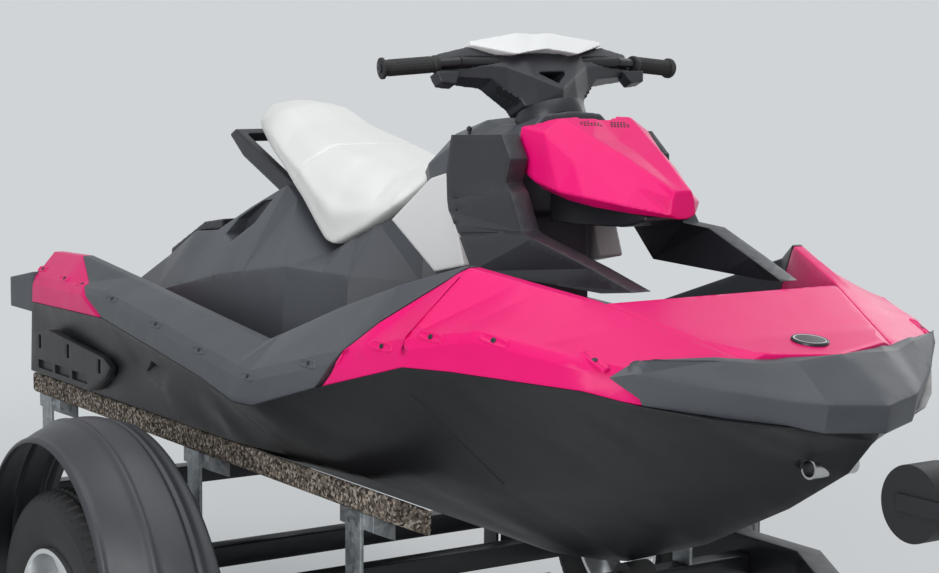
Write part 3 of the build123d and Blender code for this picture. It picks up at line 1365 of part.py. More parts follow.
def winch():
    """The hand winch on the post's front: two side plates on a base, its drum and its crank."""
    x = bow_roller_centre().X + WINCH_POST_SPACING + POST_WIDTH / 2 + SEAT_GAP
    half = WINCH_WIDTH / 2
    low = WINCH_POST_TOP - WINCH_HEIGHT
    body = box(x, x + CHEEK_THICKNESS, -half, half, low, WINCH_POST_TOP)
    for plate in both_sides(box(x, x + WINCH_LENGTH, half - CHEEK_THICKNESS, half, low, WINCH_POST_TOP)):
        body += plate
    hub = Vector(x + WINCH_LENGTH * 3 / 5, 0, WINCH_POST_TOP - WINCH_HEIGHT / 2)
    body += across_rod(hub, half, DRUM_RADIUS)
    near, far = -half - PANEL_GAP, -half - PANEL_GAP - CHEEK_THICKNESS
    lean = CRANK_LENGTH / 2
    arm = prism_y([(hub.X - CRANK_RADIUS, hub.Z + CRANK_RADIUS),
                   (hub.X + CRANK_RADIUS, hub.Z + CRANK_RADIUS),
                   (hub.X + lean + CRANK_RADIUS, hub.Z - CRANK_LENGTH),
                   (hub.X + lean - CRANK_RADIUS, hub.Z - CRANK_LENGTH)], near, far)
    foot = (hub.X + lean, near, hub.Z - CRANK_LENGTH + CRANK_RADIUS)
    handle = rod(foot, (foot[0], far - CRANK_HANDLE_LENGTH, foot[2]), CRANK_RADIUS)
    return body + rod(hub, (hub.X, far, hub.Z), CRANK_RADIUS) + arm + handle


def coupler():
    """The coupler over the tow ball: a round nose, a socket that opens downwards and a latch."""
    half = TONGUE_SIZE / 2
    low = RAIL_TOP - RAIL_HEIGHT
    top = RAIL_TOP - PANEL_GAP
    x = tongue_front_x() + COUPLER_LENGTH - half
    body = box(tongue_front_x() + PANEL_GAP, x, -half, half, low, top) + rod((x, 0, low), (x, 0, top), half)
    body += box(x - COUPLER_LENGTH / 2, x, -half / 4, half / 4, top, top + LATCH_HEIGHT)
    return body - rod((x, 0, low), (x, 0, low + SOCKET_DEPTH), BALL_RADIUS + BALL_CLEARANCE)


def jack_x():
    return CRAFT_LENGTH + JACK_REACH


def jack_tube():
    """The jack's outer tube on its bracket, with the crank on top."""
    x = jack_x()
    tube = rod((x, JACK_Y, JACK_TUBE_BOTTOM), (x, JACK_Y, JACK_TUBE_TOP), JACK_OUTER_RADIUS)
    tube += box(x - JACK_OUTER_RADIUS, x + JACK_OUTER_RADIUS, TONGUE_SIZE / 2 + SEAT_GAP,
                JACK_Y, RAIL_TOP - RAIL_HEIGHT, RAIL_TOP)
    hub = Vector(x, JACK_Y, JACK_TUBE_TOP + JACK_OUTER_RADIUS)
    arm_end = hub + Vector(CRANK_LENGTH, 0, 0)
    tube += rod((x, JACK_Y, JACK_TUBE_TOP), hub, CRANK_RADIUS)
    tube += rod(hub, arm_end, CRANK_RADIUS)
    tube += rod(arm_end, arm_end + Vector(0, 0, CRANK_HANDLE_LENGTH), CRANK_RADIUS)
    return tube - rod((x, JACK_Y, JACK_TUBE_BOTTOM), (x, JACK_Y, JACK_TUBE_TOP - JACK_WALL),
                      JACK_OUTER_RADIUS - JACK_WALL)


def jack_leg():
    """The jack's inner leg with its foot plate on the ground."""
    x = jack_x()
    ground = -KEEL_ABOVE_GROUND
    radius = JACK_OUTER_RADIUS - JACK_WALL - RUNNING_GAP
    leg = rod((x, JACK_Y, ground), (x, JACK_Y, JACK_TUBE_BOTTOM + JACK_LEG_OVERLAP / 2), radius)
    foot = rod((x, JACK_Y, ground), (x, JACK_Y, ground + JACK_FOOT_THICKNESS), JACK_FOOT_RADIUS)
    return leg + foot


PIECES = {
    "hull": hull,
    "bow_eye": bow_eye,
    "engine": engine,
    "intake_grate": intake_grate,
    "stern_platform": stern_platform,
    "stern_eyes": stern_eyes,
    "sponsons": sponsons,
    "rear_caps": rear_caps,
    "side_rails": side_rails,
    "fairings": fairings,
    "bow_deck": bow_deck,
    "bow_roundel": bow_roundel,
    "bumper": bumper,
    "pedestal": pedestal,
    "recess_plugs": recess_plugs,
    "hatch_pad": hatch_pad,
    "grab_loop": grab_loop,
    "foot_mats": foot_mats,
    "seat": seat,
    "struts": struts,
    "hood": hood,
    "hood_pan": hood_pan,
    "tower": tower,
    "lanyard_post": lanyard_post,
    "knee_trims": knee_trims,
    "steering_neck": steering_neck,
    "bar_cover": bar_cover,
    "bar_pad": bar_pad,
    "handlebar": handlebar,
    "grips": grips,
    "levers": levers,
    "display": display,
    "pump_housing": pump_housing,
    "impeller": impeller,
    "drive_shaft": drive_shaft,
    "nozzle": nozzle,
    "ride_plate": ride_plate,
    "axle": axle,
    "fenders": fenders,
    "fender_brackets": fender_brackets,
    "frame_rails": frame_rails,
    "tongue": tongue,
    "crossmembers": crossmembers,
    "bunks": bunks,
    "bunk_posts": bunk_posts,
    "coupler": coupler,
    "winch_post": winch_post,
    "winch": winch,
    "keel_roller": keel_roller,
    "tail_lamps": tail_lamps,
    "bow_roller": bow_roller,
    "jack_tube": jack_tube,
    "jack_leg": jack_leg,
    "tyre_left": lambda: tyre(1),
    "tyre_right": lambda: tyre(-1),
    "rim_left": lambda: rim(1),
    "rim_right": lambda: rim(-1),
}

# The length over all runs from the frame rails' rear end to the coupler's nose
MIDDLE_X = (RAIL_REAR_X + tongue_front_x() + COUPLER_LENGTH) / 2

for name, make in PIECES.items():
    made = make()
    shapes = made if isinstance(made, list) else [made]
    solids = [Pos(-MIDDLE_X, 0, KEEL_ABOVE_GROUND) * solid for shape in shapes for solid in shape.solids()]
    export_step(Compound(children=solids), f"parts/{name}.step")
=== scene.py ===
import json
import math

import bmesh
import bpy
import numpy as np
from mathutils import Matrix, Vector
from mathutils.bvhtree import BVHTree


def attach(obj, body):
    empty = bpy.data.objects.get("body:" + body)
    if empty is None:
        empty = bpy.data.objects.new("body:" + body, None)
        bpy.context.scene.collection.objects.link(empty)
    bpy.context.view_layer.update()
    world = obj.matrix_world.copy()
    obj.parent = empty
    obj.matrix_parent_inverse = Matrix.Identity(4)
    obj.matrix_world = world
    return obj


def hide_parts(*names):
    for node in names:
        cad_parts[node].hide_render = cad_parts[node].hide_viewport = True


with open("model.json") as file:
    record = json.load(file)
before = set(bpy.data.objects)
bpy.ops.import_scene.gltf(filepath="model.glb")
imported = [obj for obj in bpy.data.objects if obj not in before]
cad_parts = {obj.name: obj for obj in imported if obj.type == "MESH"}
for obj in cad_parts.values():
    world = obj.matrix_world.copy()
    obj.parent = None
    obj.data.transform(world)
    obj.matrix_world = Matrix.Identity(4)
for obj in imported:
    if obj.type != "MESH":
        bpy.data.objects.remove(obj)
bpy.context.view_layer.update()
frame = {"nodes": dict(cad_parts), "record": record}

# A two-seat jet craft on its trailer, in metres: +X to the bow, +Y to port, Z from the ground.
# Places on the craft are given as designers give them: millimetres forward of the stern, to port
# and up from the keel. The function craft() brings them into the frame.

MILLIMETRE = 0.001
MIDDLE_X = 1955.0
KEEL_ABOVE_GROUND = 475.0
SLOT_OF = {subpart["node"]: subpart["material_slot"] for subpart in frame["record"]["subparts"]}
BODY_OF = {node: body for body, nodes in frame["record"]["behaviour"]["bodies"].items() for node in nodes}


def craft(points):
    """Places in millimetres from stern and keel, as metres in the frame."""
    return (np.asarray(points, float) + (-MIDDLE_X, 0, KEEL_ABOVE_GROUND)) * MILLIMETRE


def linear(colour):
    """An sRGB hex colour as linear red, green, blue and alpha."""
    channels = [int(colour[k:k + 2], 16) / 255 for k in (1, 3, 5)]
    return [c / 12.92 if c <= 0.04045 else ((c + 0.055) / 1.055) ** 2.4 for c in channels] + [1.0]


def add(tree, kind, inputs, output=0, **settings):
    """Adds a node and returns one of its outputs.

    An input is a number or vector, a hex colour, or the output of another node that feeds it.
    """
    made = tree.nodes.new(kind)
    for name, value in settings.items():
        setattr(made, name, value)
    for name, value in inputs.items():
        if isinstance(value, bpy.types.NodeSocket):
            tree.links.new(value, made.inputs[name])
        else:
            made.inputs[name].default_value = linear(value) if isinstance(value, str) else value
    return made.outputs[output] if made.outputs else None


def blank(name):
    """A new material, its empty tree and the object's own coordinates."""
    material = bpy.data.materials.new(name)
    material.use_nodes = True
    tree = material.node_tree
    tree.nodes.clear()
    return material, tree, add(tree, "ShaderNodeTexCoord", {}, "Object")


def shaded(tree, inputs):
    """Ends a tree in one shader with the given inputs."""
    add(tree, "ShaderNodeOutputMaterial", {"Surface": add(tree, "ShaderNodeBsdfPrincipled", inputs)})


def moulded_plastic(name, low, high, rough, grain, depth, coat=0.0, shine=0.5):
    """Moulded plastic: soft cloudy colour, a roughness that varies and a fine spark-eroded grain.

    The clouds are 220 mm across and the dull and shiny patches 60 mm.
    """
    material, tree, coords = blank(name)
    cloud = add(tree, "ShaderNodeTexNoise", {"Vector": coords, "Scale": 1 / 0.22, "Detail": 3.0})
    cloud = add(tree, "ShaderNodeMapRange", {"Value": cloud, "From Min": 0.3, "From Max": 0.7})
    tone = add(tree, "ShaderNodeMix", {0: cloud, 6: low, 7: high}, 2, data_type="RGBA")
    speck = add(tree, "ShaderNodeTexNoise", {"Vector": coords, "Scale": 1 / (grain * 2), "Detail": 1.0})
    speck = add(tree, "ShaderNodeMapRange",
                {"Value": speck, "From Min": 0.45, "From Max": 0.7, "To Max": 0.1})
    patch = add(tree, "ShaderNodeTexNoise", {"Vector": coords, "Scale": 1 / 0.06, "Detail": 4.0})
    pits = add(tree, "ShaderNodeTexNoise", {"Vector": coords, "Scale": 1 / grain, "Detail": 1.0})
    shaded(tree, {
        "Base Color": add(tree, "ShaderNodeMix", {0: speck, 6: tone, 7: high}, 2, data_type="RGBA"),
        "Roughness": add(tree, "ShaderNodeMapRange",
                         {"Value": patch, "To Min": rough - 0.05, "To Max": rough + 0.07}),
        "Normal": add(tree, "ShaderNodeBump", {"Height": pits, "Distance": depth, "Strength": 0.3}),
        "IOR": 1.49, "Specular IOR Level": shine, "Coat Weight": coat, "Coat Roughness": 0.18})
    return material


def plain_metal(name, low, high, rough, grain, depth):
    """Bare or plated metal: its colour is its reflection, mottled by the finish."""
    material, tree, coords = blank(name)
    mottle, dull, pits = (
        add(tree, "ShaderNodeTexNoise", {"Vector": coords, "Scale": 1 / (grain * size), "Detail": detail})
        for size, detail in ((6, 3.0), (3, 3.0), (1, 2.0)))
    shaded(tree, {
        "Base Color": add(tree, "ShaderNodeMix", {0: mottle, 6: low, 7: high}, 2, data_type="RGBA"),
        "Roughness": add(tree, "ShaderNodeMapRange",
                         {"Value": dull, "To Min": rough - 0.06, "To Max": rough + 0.08}),
        "Normal": add(tree, "ShaderNodeBump", {"Height": pits, "Distance": depth, "Strength": 0.4}),
        "Metallic": 1.0})
    return material


def zinc_spangle(name, low, high, crystal):
    """Hot-dip galvanised steel: dull grey plates of zinc crystal, each a little lighter or darker."""
    material, tree, coords = blank(name)
    cells = add(tree, "ShaderNodeTexVoronoi", {"Vector": coords, "Scale": 1 / crystal}, "Color")
    tone = add(tree, "ShaderNodeSeparateColor", {"Color": cells}, "Red")
    frost = add(tree, "ShaderNodeTexNoise", {"Vector": coords, "Scale": 2 / crystal, "Detail": 3.0})
    shaded(tree, {
        "Base Color": add(tree, "ShaderNodeMix", {0: tone, 6: low, 7: high}, 2, data_type="RGBA"),
        "Roughness": add(tree, "ShaderNodeMapRange", {"Value": tone, "To Min": 0.42, "To Max": 0.58}),
        "Normal": add(tree, "ShaderNodeBump", {"Height": frost, "Distance": 0.0003, "Strength": 0.5}),
        "Metallic": 0.9})
    return material


def sewn_vinyl(name, low, high):
    """Marine vinyl: a pebbled skin about two millimetres across over soft foam, with a satin sheen."""
    material, tree, coords = blank(name)
    cloud = add(tree, "ShaderNodeTexNoise", {"Vector": coords, "Scale": 1 / 0.12, "Detail": 3.0})
    patch = add(tree, "ShaderNodeTexNoise", {"Vector": coords, "Scale": 1 / 0.03, "Detail": 3.0})
    pebbles = add(tree, "ShaderNodeTexVoronoi", {"Vector": coords, "Scale": 1 / 0.0022}, "Distance")
    shaded(tree, {
        "Base Color": add(tree, "ShaderNodeMix", {0: cloud, 6: low, 7: high}, 2, data_type="RGBA"),
        "Roughness": add(tree, "ShaderNodeMapRange", {"Value": patch, "To Min": 0.42, "To Max": 0.52}),
        "Normal": add(tree, "ShaderNodeBump", {"Height": pebbles, "Distance": 0.0004, "Strength": 0.35}),
        "IOR": 1.5})
    return material


def bunk_carpet(name, dark, light, fleck):
    """Marine carpet: looped pile in mixed yarns, dark and light loops about five millimetres across."""
    material, tree, coords = blank(name)
    loops = add(tree, "ShaderNodeTexVoronoi", {"Vector": coords, "Scale": 1 / 0.0055}, "Color")
    red, green, blue = add(tree, "ShaderNodeSeparateColor", {"Color": loops}).node.outputs
    shade = add(tree, "ShaderNodeMapRange", {"Value": red, "From Min": 0.2, "From Max": 0.9})
    tone = add(tree, "ShaderNodeMix", {0: shade, 6: dark, 7: light}, 2, data_type="RGBA")
    share = add(tree, "ShaderNodeMapRange", {"Value": green, "From Min": 0.80, "From Max": 0.84})
    shaded(tree, {
        "Base Color": add(tree, "ShaderNodeMix", {0: share, 6: tone, 7: fleck}, 2, data_type="RGBA"),
        "Normal": add(tree, "ShaderNodeBump", {"Height": blue, "Distance": 0.003, "Strength": 0.9}),
        "Roughness": 0.95, "Specular IOR Level": 0.15})
    return material


def finishes():
    """One material for each slot of the record: colours, roughness, and grain and its depth in metres."""
    return {
        # Polypropylene as moulded: satin, with a fine grain that breaks up its soft highlights
        "hull_plastic": moulded_plastic("polypropylene_hull", "#191a1d", "#1e1f23", 0.40, 0.0016, 0.0002),
        "grey_plastic": moulded_plastic("polypropylene_grey", "#474a50", "#4d5056", 0.46, 0.0018, 0.0002),
        "black_plastic": moulded_plastic("polypropylene_black", "#23242a", "#292a30", 0.36, 0.0015, 0.0002),
        "pink_plastic": moulded_plastic("polypropylene_pink", "#ec0b71", "#f21278", 0.36, 0.0012, 0.0001,
                                        shine=0.25),
        "fender_plastic": moulded_plastic("polyethylene_fender", "#34363a", "#3b3d42", 0.42, 0.0018, 0.0002),
        "white_plastic": moulded_plastic("abs_white", "#ebecec", "#eff0f0", 0.33, 0.0016, 0.0001),
        # Vinyl over foam: a soft sheen on its crowns, dulled by the pebbles of its skin
        "white_vinyl": sewn_vinyl("vinyl_white", "#ececea", "#f0f0ee"),
        # Rubber: almost no highlight, a little lighter where it has dried
        "rubber": moulded_plastic("rubber_black", "#1a1a1b", "#222223", 0.58, 0.0012, 0.0003),
        "tyre": moulded_plastic("tyre_rubber", "#1b1b1c", "#272728", 0.66, 0.0030, 0.0003),
        # Paint on steel: darker and smoother than the plastics, with a faint ripple
        "frame_paint": moulded_plastic("painted_steel", "#15161a", "#1d1e22", 0.34, 0.0040, 0.0002),
        "engine_metal": moulded_plastic("cast_iron_painted", "#2c2d2f", "#37383a", 0.55, 0.0020, 0.0004),
        # Acrylic lens: deep red under a clear gloss
        "lamp_red": moulded_plastic("acrylic_red", "#8a0f12", "#961417", 0.18, 0.0040, 0.0001, 0.5),
        # Tufted carpet: dull loops in mixed yarns
        "carpet": bunk_carpet("carpet_pile", "#3f3833", "#8d8277", "#b8ada1"),
        # Metals: turned steel is bright, cast aluminium cloudy, zinc dull and spangled
        "steel": plain_metal("stainless_steel", "#b4b5b6", "#c4c5c5", 0.24, 0.0020, 0.0001),
        "jet_alloy": plain_metal("cast_aluminium", "#8d8f91", "#9ea0a2", 0.42, 0.0022, 0.0003),
        "alloy": plain_metal("polished_aluminium", "#dddfe0", "#e8e9ea", 0.30, 0.0030, 0.0001),
        "galvanised": zinc_spangle("galvanised_steel", "#8b9094", "#b0b4b6", 0.012),
    }


FINISHES = finishes()
# Nodes whose finish is another than that of their slot: the bar is painted black
OWN_FINISH = {"handlebar": "frame_paint"}


def dress_nodes():
    """Gives every CAD node its material."""
    for node, slot in SLOT_OF.items():
        mesh = frame["nodes"][node].data
        mesh.materials.clear()
        mesh.materials.append(FINISHES[OWN_FINISH.get(node, slot)])


def piece(name, mesh, slot, body, replaced=()):
    """Makes a finished mesh a piece: its finish, the body it rides on and the nodes it stands for."""
    made = bpy.data.objects.new(name, mesh)
    bpy.context.collection.objects.link(made)
    mesh.materials.clear()
    mesh.materials.append(FINISHES[slot])
    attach(made, body)
    if replaced:
        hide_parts(*replaced)
    return made


def smoothed(mesh, degrees):
    """Shades a mesh smooth but for edges that turn by more than the angle."""
    mesh.shade_smooth()
    mesh.set_sharp_from_angle(angle=math.radians(degrees))
    return mesh


def joined_mesh(name, parts):
    """One mesh from several pairs of (corners, faces), each an array."""
    corners = np.concatenate([np.asarray(c, float).reshape(-1, 3) for c, _ in parts])
    starts = np.cumsum([0] + [len(np.asarray(c).reshape(-1, 3)) for c, _ in parts[:-1]])
    mesh = bpy.data.meshes.new(name)
    faces = [tuple(face) for start, (_, quads) in zip(starts, parts) for face in (quads + start).tolist()]
    mesh.from_pydata(corners, [], faces)
    shape = bmesh.new()
    shape.from_mesh(mesh)
    bmesh.ops.remove_doubles(shape, verts=shape.verts, dist=0.000001)
    bmesh.ops.recalc_face_normals(shape, faces=shape.faces)
    shape.to_mesh(mesh)
    shape.free()
    return mesh


def trim(name, parts, degrees, slot, carrier, replaced=()):
    """A piece from several surfaces, on the body of the node that carries it."""
    piece(name, smoothed(joined_mesh(name, parts), degrees), slot, BODY_OF[carrier], replaced)


def grid_faces(rows, columns, wrap_rows=False, wrap_columns=False):
    """The quads of a grid of points, joined across its ends where it wraps."""
    i = np.arange(rows if wrap_rows else rows - 1)[:, None]
    j = np.arange(columns if wrap_columns else columns - 1)[None, :]
    i, j = np.broadcast_arrays(i, j)
    after_i, after_j = (i + 1) % rows, (j + 1) % columns
    first, last = i * columns, after_i * columns
    return np.stack([first + j, last + j, last + after_j, first + after_j]).reshape(4, -1).T


def surface(points, wrap_rows=False, wrap_columns=False):
    """A grid of points, rows by columns by 3, as corners and quads."""
    rows, columns = points.shape[:2]
    return points.reshape(-1, 3), grid_faces(rows, columns, wrap_rows, wrap_columns)


def turned(profile, centre, axis, sides):
    """A closed turned form: each (radius, height) of the profile swept round an axis through a centre."""
    profile = np.asarray(profile, float)
    axis = np.asarray(axis, float) / np.linalg.norm(axis)
    aside = np.cross(axis, (0.31, 0.95, 0.17))
    aside /= np.linalg.norm(aside)
    across = np.cross(axis, aside)
    angle = np.arange(sides) / sides * 2 * np.pi
    ring = np.cos(angle)[:, None] * aside + np.sin(angle)[:, None] * across
    points = centre + profile[:, 0][:, None, None] * ring + profile[:, 1][:, None, None] * axis
    return surface(points, wrap_columns=True)


def swept(path, radius, sides):
    """A round bar along a path: a circle carried square to the path."""
    path = np.asarray(path, float)
    ahead = np.gradient(path, axis=0)
    ahead /= np.linalg.norm(ahead, axis=1)[:, None]
    aside = np.cross(ahead, (0.0, 0.0, 1.0))
    aside /= np.linalg.norm(aside, axis=1)[:, None]
    upright = np.cross(aside, ahead)
    angle = np.arange(sides) / sides * 2 * np.pi
    radius = np.broadcast_to(np.asarray(radius, float), len(path))[:, None, None]
    points = (path[:, None] + radius * np.cos(angle)[None, :, None] * aside[:, None]
              + radius * np.sin(angle)[None, :, None] * upright[:, None])
    ends = np.stack([np.repeat(path[:1], sides, 0), np.repeat(path[-1:], sides, 0)])
    return surface(np.concatenate([ends[:1], points, ends[1:]]), wrap_columns=True)


def resampled(corners, count):
    """Points evenly along a line through corners."""
    corners = np.asarray(corners, float)
    run = np.concatenate([[0], np.cumsum(np.linalg.norm(np.diff(corners, axis=0), axis=1))])
    at = np.linspace(0, run[-1], count)
    return np.stack([np.interp(at, run, corners[:, k]) for k in range(3)], axis=1)


# Mouldings: each rigid node's own panels with real creases and small corner radii. For each node:
# the corner radius, the distance within which corners are one, and the longest edge, in millimetres
MOULDED = {
    "hull": (1.5, 2.0, 34.0), "rear_caps": (2.5, 2.0, 20.0), "side_rails": (2.5, 2.0, 26.0),
    "fairings": (2.5, 2.0, 24.0), "bow_deck": (2.5, 2.0, 26.0), "pedestal": (2.5, 2.0, 26.0),
    "bumper": (2.0, 2.0, 24.0), "struts": (0.8, 2.0, 24.0), "stern_platform": (3.0, 2.0, 30.0),
    "sponsons": (1.2, 0.8, 30.0), "steering_neck": (0.6, 0.8, 90.0),
    "frame_rails": (3.0, 2.0, 90.0), "tongue": (3.0, 2.0, 90.0), "crossmembers": (3.0, 2.0, 90.0),
    "bunk_posts": (1.5, 1.0, 90.0), "fender_brackets": (1.5, 1.0, 90.0), "winch_post": (2.0, 1.0, 90.0),
    "tail_lamps": (3.0, 1.0, 60.0), "axle": (2.0, 1.0, 90.0), "coupler": (1.5, 1.0, 40.0),
    "ride_plate": (1.5, 1.0, 60.0), "engine": (12.0, 2.0, 60.0), "intake_grate": (1.0, 1.0, 60.0),
}
# Smaller mouldings whose corners are rounder: the size of their grid in millimetres, and how often
# the grid is evened out
ROUNDED = {
    "hood": (3.0, 5), "hood_pan": (3.0, 3), "bar_cover": (2.6, 3), "bar_pad": (2.4, 14),
    "tower": (3.4, 3), "knee_trims": (3.0, 7), "hatch_pad": (3.4, 6),
    "grab_loop": (3.0, 6), "levers": (2.2, 5), "display": (1.8, 3), "bunks": (6.0, 3),
}
ROUNDED_SHARE = 0.42
FLAT_ANGLE = math.radians(0.8)
# A fold is a crease above the first angle, or above the second on the nodes whose faint folds are
# evened out, and gets a corner radius above the third
CREASE_ANGLE = math.radians(13.0)
FAINT_CREASE_ANGLE = math.radians(23.0)
ROUNDED_ANGLE = math.radians(32.0)
EVEN = ("fairings", "hull")
# Evening out: how often, and the shares of each step in and back; panels named taut only go in
RELAX_PASSES = 40
RELAX_IN = 0.50
RELAX_OUT = -0.53
TAUT = ("fairings",)
DIVISIONS = 8
NEAR_SHARE = 1.8
CORNER_SEGMENTS = 3
PROUDEST = 1.0 * MILLIMETRE
FURTHEST = 6.5 * MILLIMETRE
CHAMFERED = ("side_rails", "fairings", "rear_caps")
CHAMFER_WIDTH = 13 * MILLIMETRE


def node_shape(node, joined=0.8):
    """A node's shape with its loose corners joined and its flat facets made one."""
    shape = bmesh.new()
    shape.from_mesh(frame["nodes"][node].data)
    bmesh.ops.remove_doubles(shape, verts=shape.verts, dist=joined * MILLIMETRE)
    bmesh.ops.dissolve_limit(shape, angle_limit=FLAT_ANGLE, verts=shape.verts, edges=shape.edges)
    return shape


def node_mesh(node, name):
    """A new mesh of a node's shape."""
    shape = node_shape(node)
    mesh = bpy.data.meshes.new(name)
    shape.to_mesh(mesh)
    shape.free()
    return mesh


def is_side_crease(edge):
    """An edge fore and aft where the upright outer side of the body turns in to its shoulder."""
    if len(edge.link_faces) != 2:
        return False
    side, shoulder = sorted((face.normal for face in edge.link_faces), key=lambda normal: normal.z)
    along = edge.verts[1].co - edge.verts[0].co
    outward = side.y * edge.verts[0].co.y > 0 and abs(side.y) > 0.6
    return outward and abs(side.z) < 0.3 and shoulder.z > 0.5 and abs(along.x) > 0.6 * along.length


def chamfer_creases(shape):
    """Cuts the narrow flat band that runs along the craft's sides."""
    edges = [edge for edge in shape.edges if is_side_crease(edge)]
    bmesh.ops.bevel(shape, geom=edges, offset=CHAMFER_WIDTH, offset_type="OFFSET", segments=1,
                    profile=0.5, affect="EDGES", clamp_overlap=False)


def mark_creases(edges, fold):
    """Marks as sharp each of the edges at which the surface folds by more than the given angle."""
    for edge in edges:
        edge.smooth = len(edge.link_faces) == 2 and edge.calc_face_angle(0) < fold


def divided(shape, reach, near, fold):
    """Marks the creases, then divides the panels between them until no edge is longer than reach.

    A corner within a panel that lies nearer to a crease than near is drawn in to it, so that the
    rounding of the crease has room.
    """
    mark_creases(shape.edges, fold)
    for _ in range(DIVISIONS):
        long = [edge for edge in shape.edges if edge.calc_length() > reach]
        if not long:
            break
        bmesh.ops.subdivide_edges(shape, edges=long, cuts=1)
        bmesh.ops.triangulate(shape, faces=[face for face in shape.faces if len(face.verts) > 3])
    bmesh.ops.triangulate(shape, faces=[face for face in shape.faces if len(face.verts) > 3])
    bmesh.ops.beautify_fill(shape, faces=shape.faces, edges=[edge for edge in shape.edges if edge.smooth])
    creased = {vert for edge in shape.edges if not edge.smooth for vert in edge.verts}
    drawn_in = {}
    for edge in shape.edges:
        first, last = edge.verts
        if edge.calc_length() < near and (first in creased) != (last in creased):
            loose, held = (last, first) if first in creased else (first, last)
            drawn_in.setdefault(loose, held)
    bmesh.ops.weld_verts(shape, targetmap=drawn_in)
    bmesh.ops.triangulate(shape, faces=[face for face in shape.faces if len(face.verts) > 3])
    shape.normal_update()
    mark_creases([edge for edge in shape.edges if all(vert in creased for vert in edge.verts)], fold)


def relaxed(mesh, steps):
    """Evens out each panel between its creases.

    Each free corner goes part of the way to the mean of its neighbours, then a little further back,
    which takes out the marks of the facets and keeps the panel's own curve. Creases stay.
    """
    points = coordinates(mesh)
    pairs = np.empty(len(mesh.edges) * 2, int)
    mesh.edges.foreach_get("vertices", pairs)
    pairs = pairs.reshape(-1, 2)
    sharp = mesh.attributes["sharp_edge"]
    creased = np.empty(len(pairs), bool)
    sharp.data.foreach_get("value", creased)
    free = np.ones(len(points), bool)
    free[pairs[creased].ravel()] = False
    count = np.bincount(pairs.ravel(), minlength=len(points))[:, None]
    for _ in range(RELAX_PASSES):
        for share in steps:
            total = np.zeros_like(points)
            np.add.at(total, pairs[:, 0], points[pairs[:, 1]])
            np.add.at(total, pairs[:, 1], points[pairs[:, 0]])
            step = total / np.maximum(count, 1) - points
            points = points + share * step * free[:, None]
    mesh.vertices.foreach_set("co", points.ravel())


def kept_near(mesh, node):
    """Brings back to the node's own skin any corner that stands proud of it or has left it."""
    own = frame["nodes"][node].data
    corners = [vert.co for vert in own.vertices]
    skin = BVHTree.FromPolygons(corners, [tuple(face.vertices) for face in own.polygons])
    for vert in mesh.vertices:
        at, normal, _, away = skin.find_nearest(vert.co)
        if away > FURTHEST or (vert.co - at).dot(normal) > PROUDEST:
            vert.co = at


def corner_weights(mesh, folds):
    """Rounds the strong creases and leaves the faint ones crisp."""
    weights = mesh.attributes.new("bevel_weight_edge", "FLOAT", "EDGE")
    weights.data.foreach_set("value", (folds > ROUNDED_ANGLE).astype(float))
    mesh.attributes["sharp_edge"].data.foreach_set("value", (folds > CREASE_ANGLE) & (folds <= ROUNDED_ANGLE))


def mouldings():
    """Each rigid node again with even panels and rounded corners; the sides also get their chamfer."""
    for node, (radius, joined, reach) in MOULDED.items():
        shape = node_shape(node, joined)
        if node in CHAMFERED:
            chamfer_creases(shape)
        fold = FAINT_CREASE_ANGLE if node in EVEN else CREASE_ANGLE
        divided(shape, reach * MILLIMETRE, NEAR_SHARE * radius * MILLIMETRE, fold)
        folds = np.array([edge.calc_face_angle(0) if not edge.smooth else 0.0 for edge in shape.edges])
        mesh = bpy.data.meshes.new(node + "_moulding")
        shape.to_mesh(mesh)
        shape.free()
        relaxed(mesh, (RELAX_IN,) if node in TAUT else (RELAX_IN, RELAX_OUT))
        kept_near(mesh, node)
        made = piece(node + "_moulding", mesh, SLOT_OF[node], BODY_OF[node], [node])
        mesh.shade_smooth()
        corner_weights(mesh, folds)
        bevel = made.modifiers.new("corners", "BEVEL")
        bevel.width = radius * MILLIMETRE
        bevel.segments = CORNER_SEGMENTS
        bevel.limit_method = "WEIGHT"
        bevel.use_clamp_overlap = False
        bevel.harden_normals = True
        bevel.miter_outer = "MITER_SHARP"


def remeshed(made, grid, passes):
    """Draws a piece again on a grid of the given size, then evens it out."""
    remesh = made.modifiers.new("remesh", "REMESH")
    remesh.mode = "VOXEL"
    remesh.voxel_size = grid
    evened(made, passes)


def evened(made, passes):
    """Moves each corner half of the way to the mean of its neighbours, several times."""
    soften = made.modifiers.new("soften", "SMOOTH")
    soften.factor = 0.5
    soften.iterations = passes


def rounded_mouldings():
    """Each smaller moulding drawn again on a fine grid, which is evened out to round its corners."""
    for node, (grid, passes) in ROUNDED.items():
        name = node + "_moulding"
        made = piece(name, node_mesh(node, name), SLOT_OF[node], BODY_OF[node], [node])
        remeshed(made, grid * MILLIMETRE, passes)
        thinned(made, ROUNDED_SHARE).shade_smooth()


# Seat: foam under white vinyl, sewn from a rear and a front panel
SEAT_SHRINK = 5.0 * MILLIMETRE
SEAT_VOXEL = 5.0 * MILLIMETRE
SEAT_SMOOTHING = 60
SEAT_PRESSURE = 4.0
SEAT_FRAMES = 20
SEAT_CAP = 7.0 * MILLIMETRE
SEAT_SETTLING = 26
SEAT_SHARE = 0.45
UNDERSIDE = -0.55
# The seam runs across at this distance from the stern, drawn back to the sides and down them
SEAM_MIDDLE_X = 1150.0
SEAM_SWEEP = 0.33
SEAM_SIDE_Z = 797.0
SEAM_SIDE_SLOPE = 0.8
SEAM_HALF_WIDTH = 9.0 * MILLIMETRE
SEAM_DEPTH = 4.5 * MILLIMETRE
STITCH_ROW = 8.5
STITCH_PITCH = 7.0
STITCH_LENGTH = 4.4
STITCH_REACH = 178.0
THREAD_RADIUS = 0.55 * MILLIMETRE


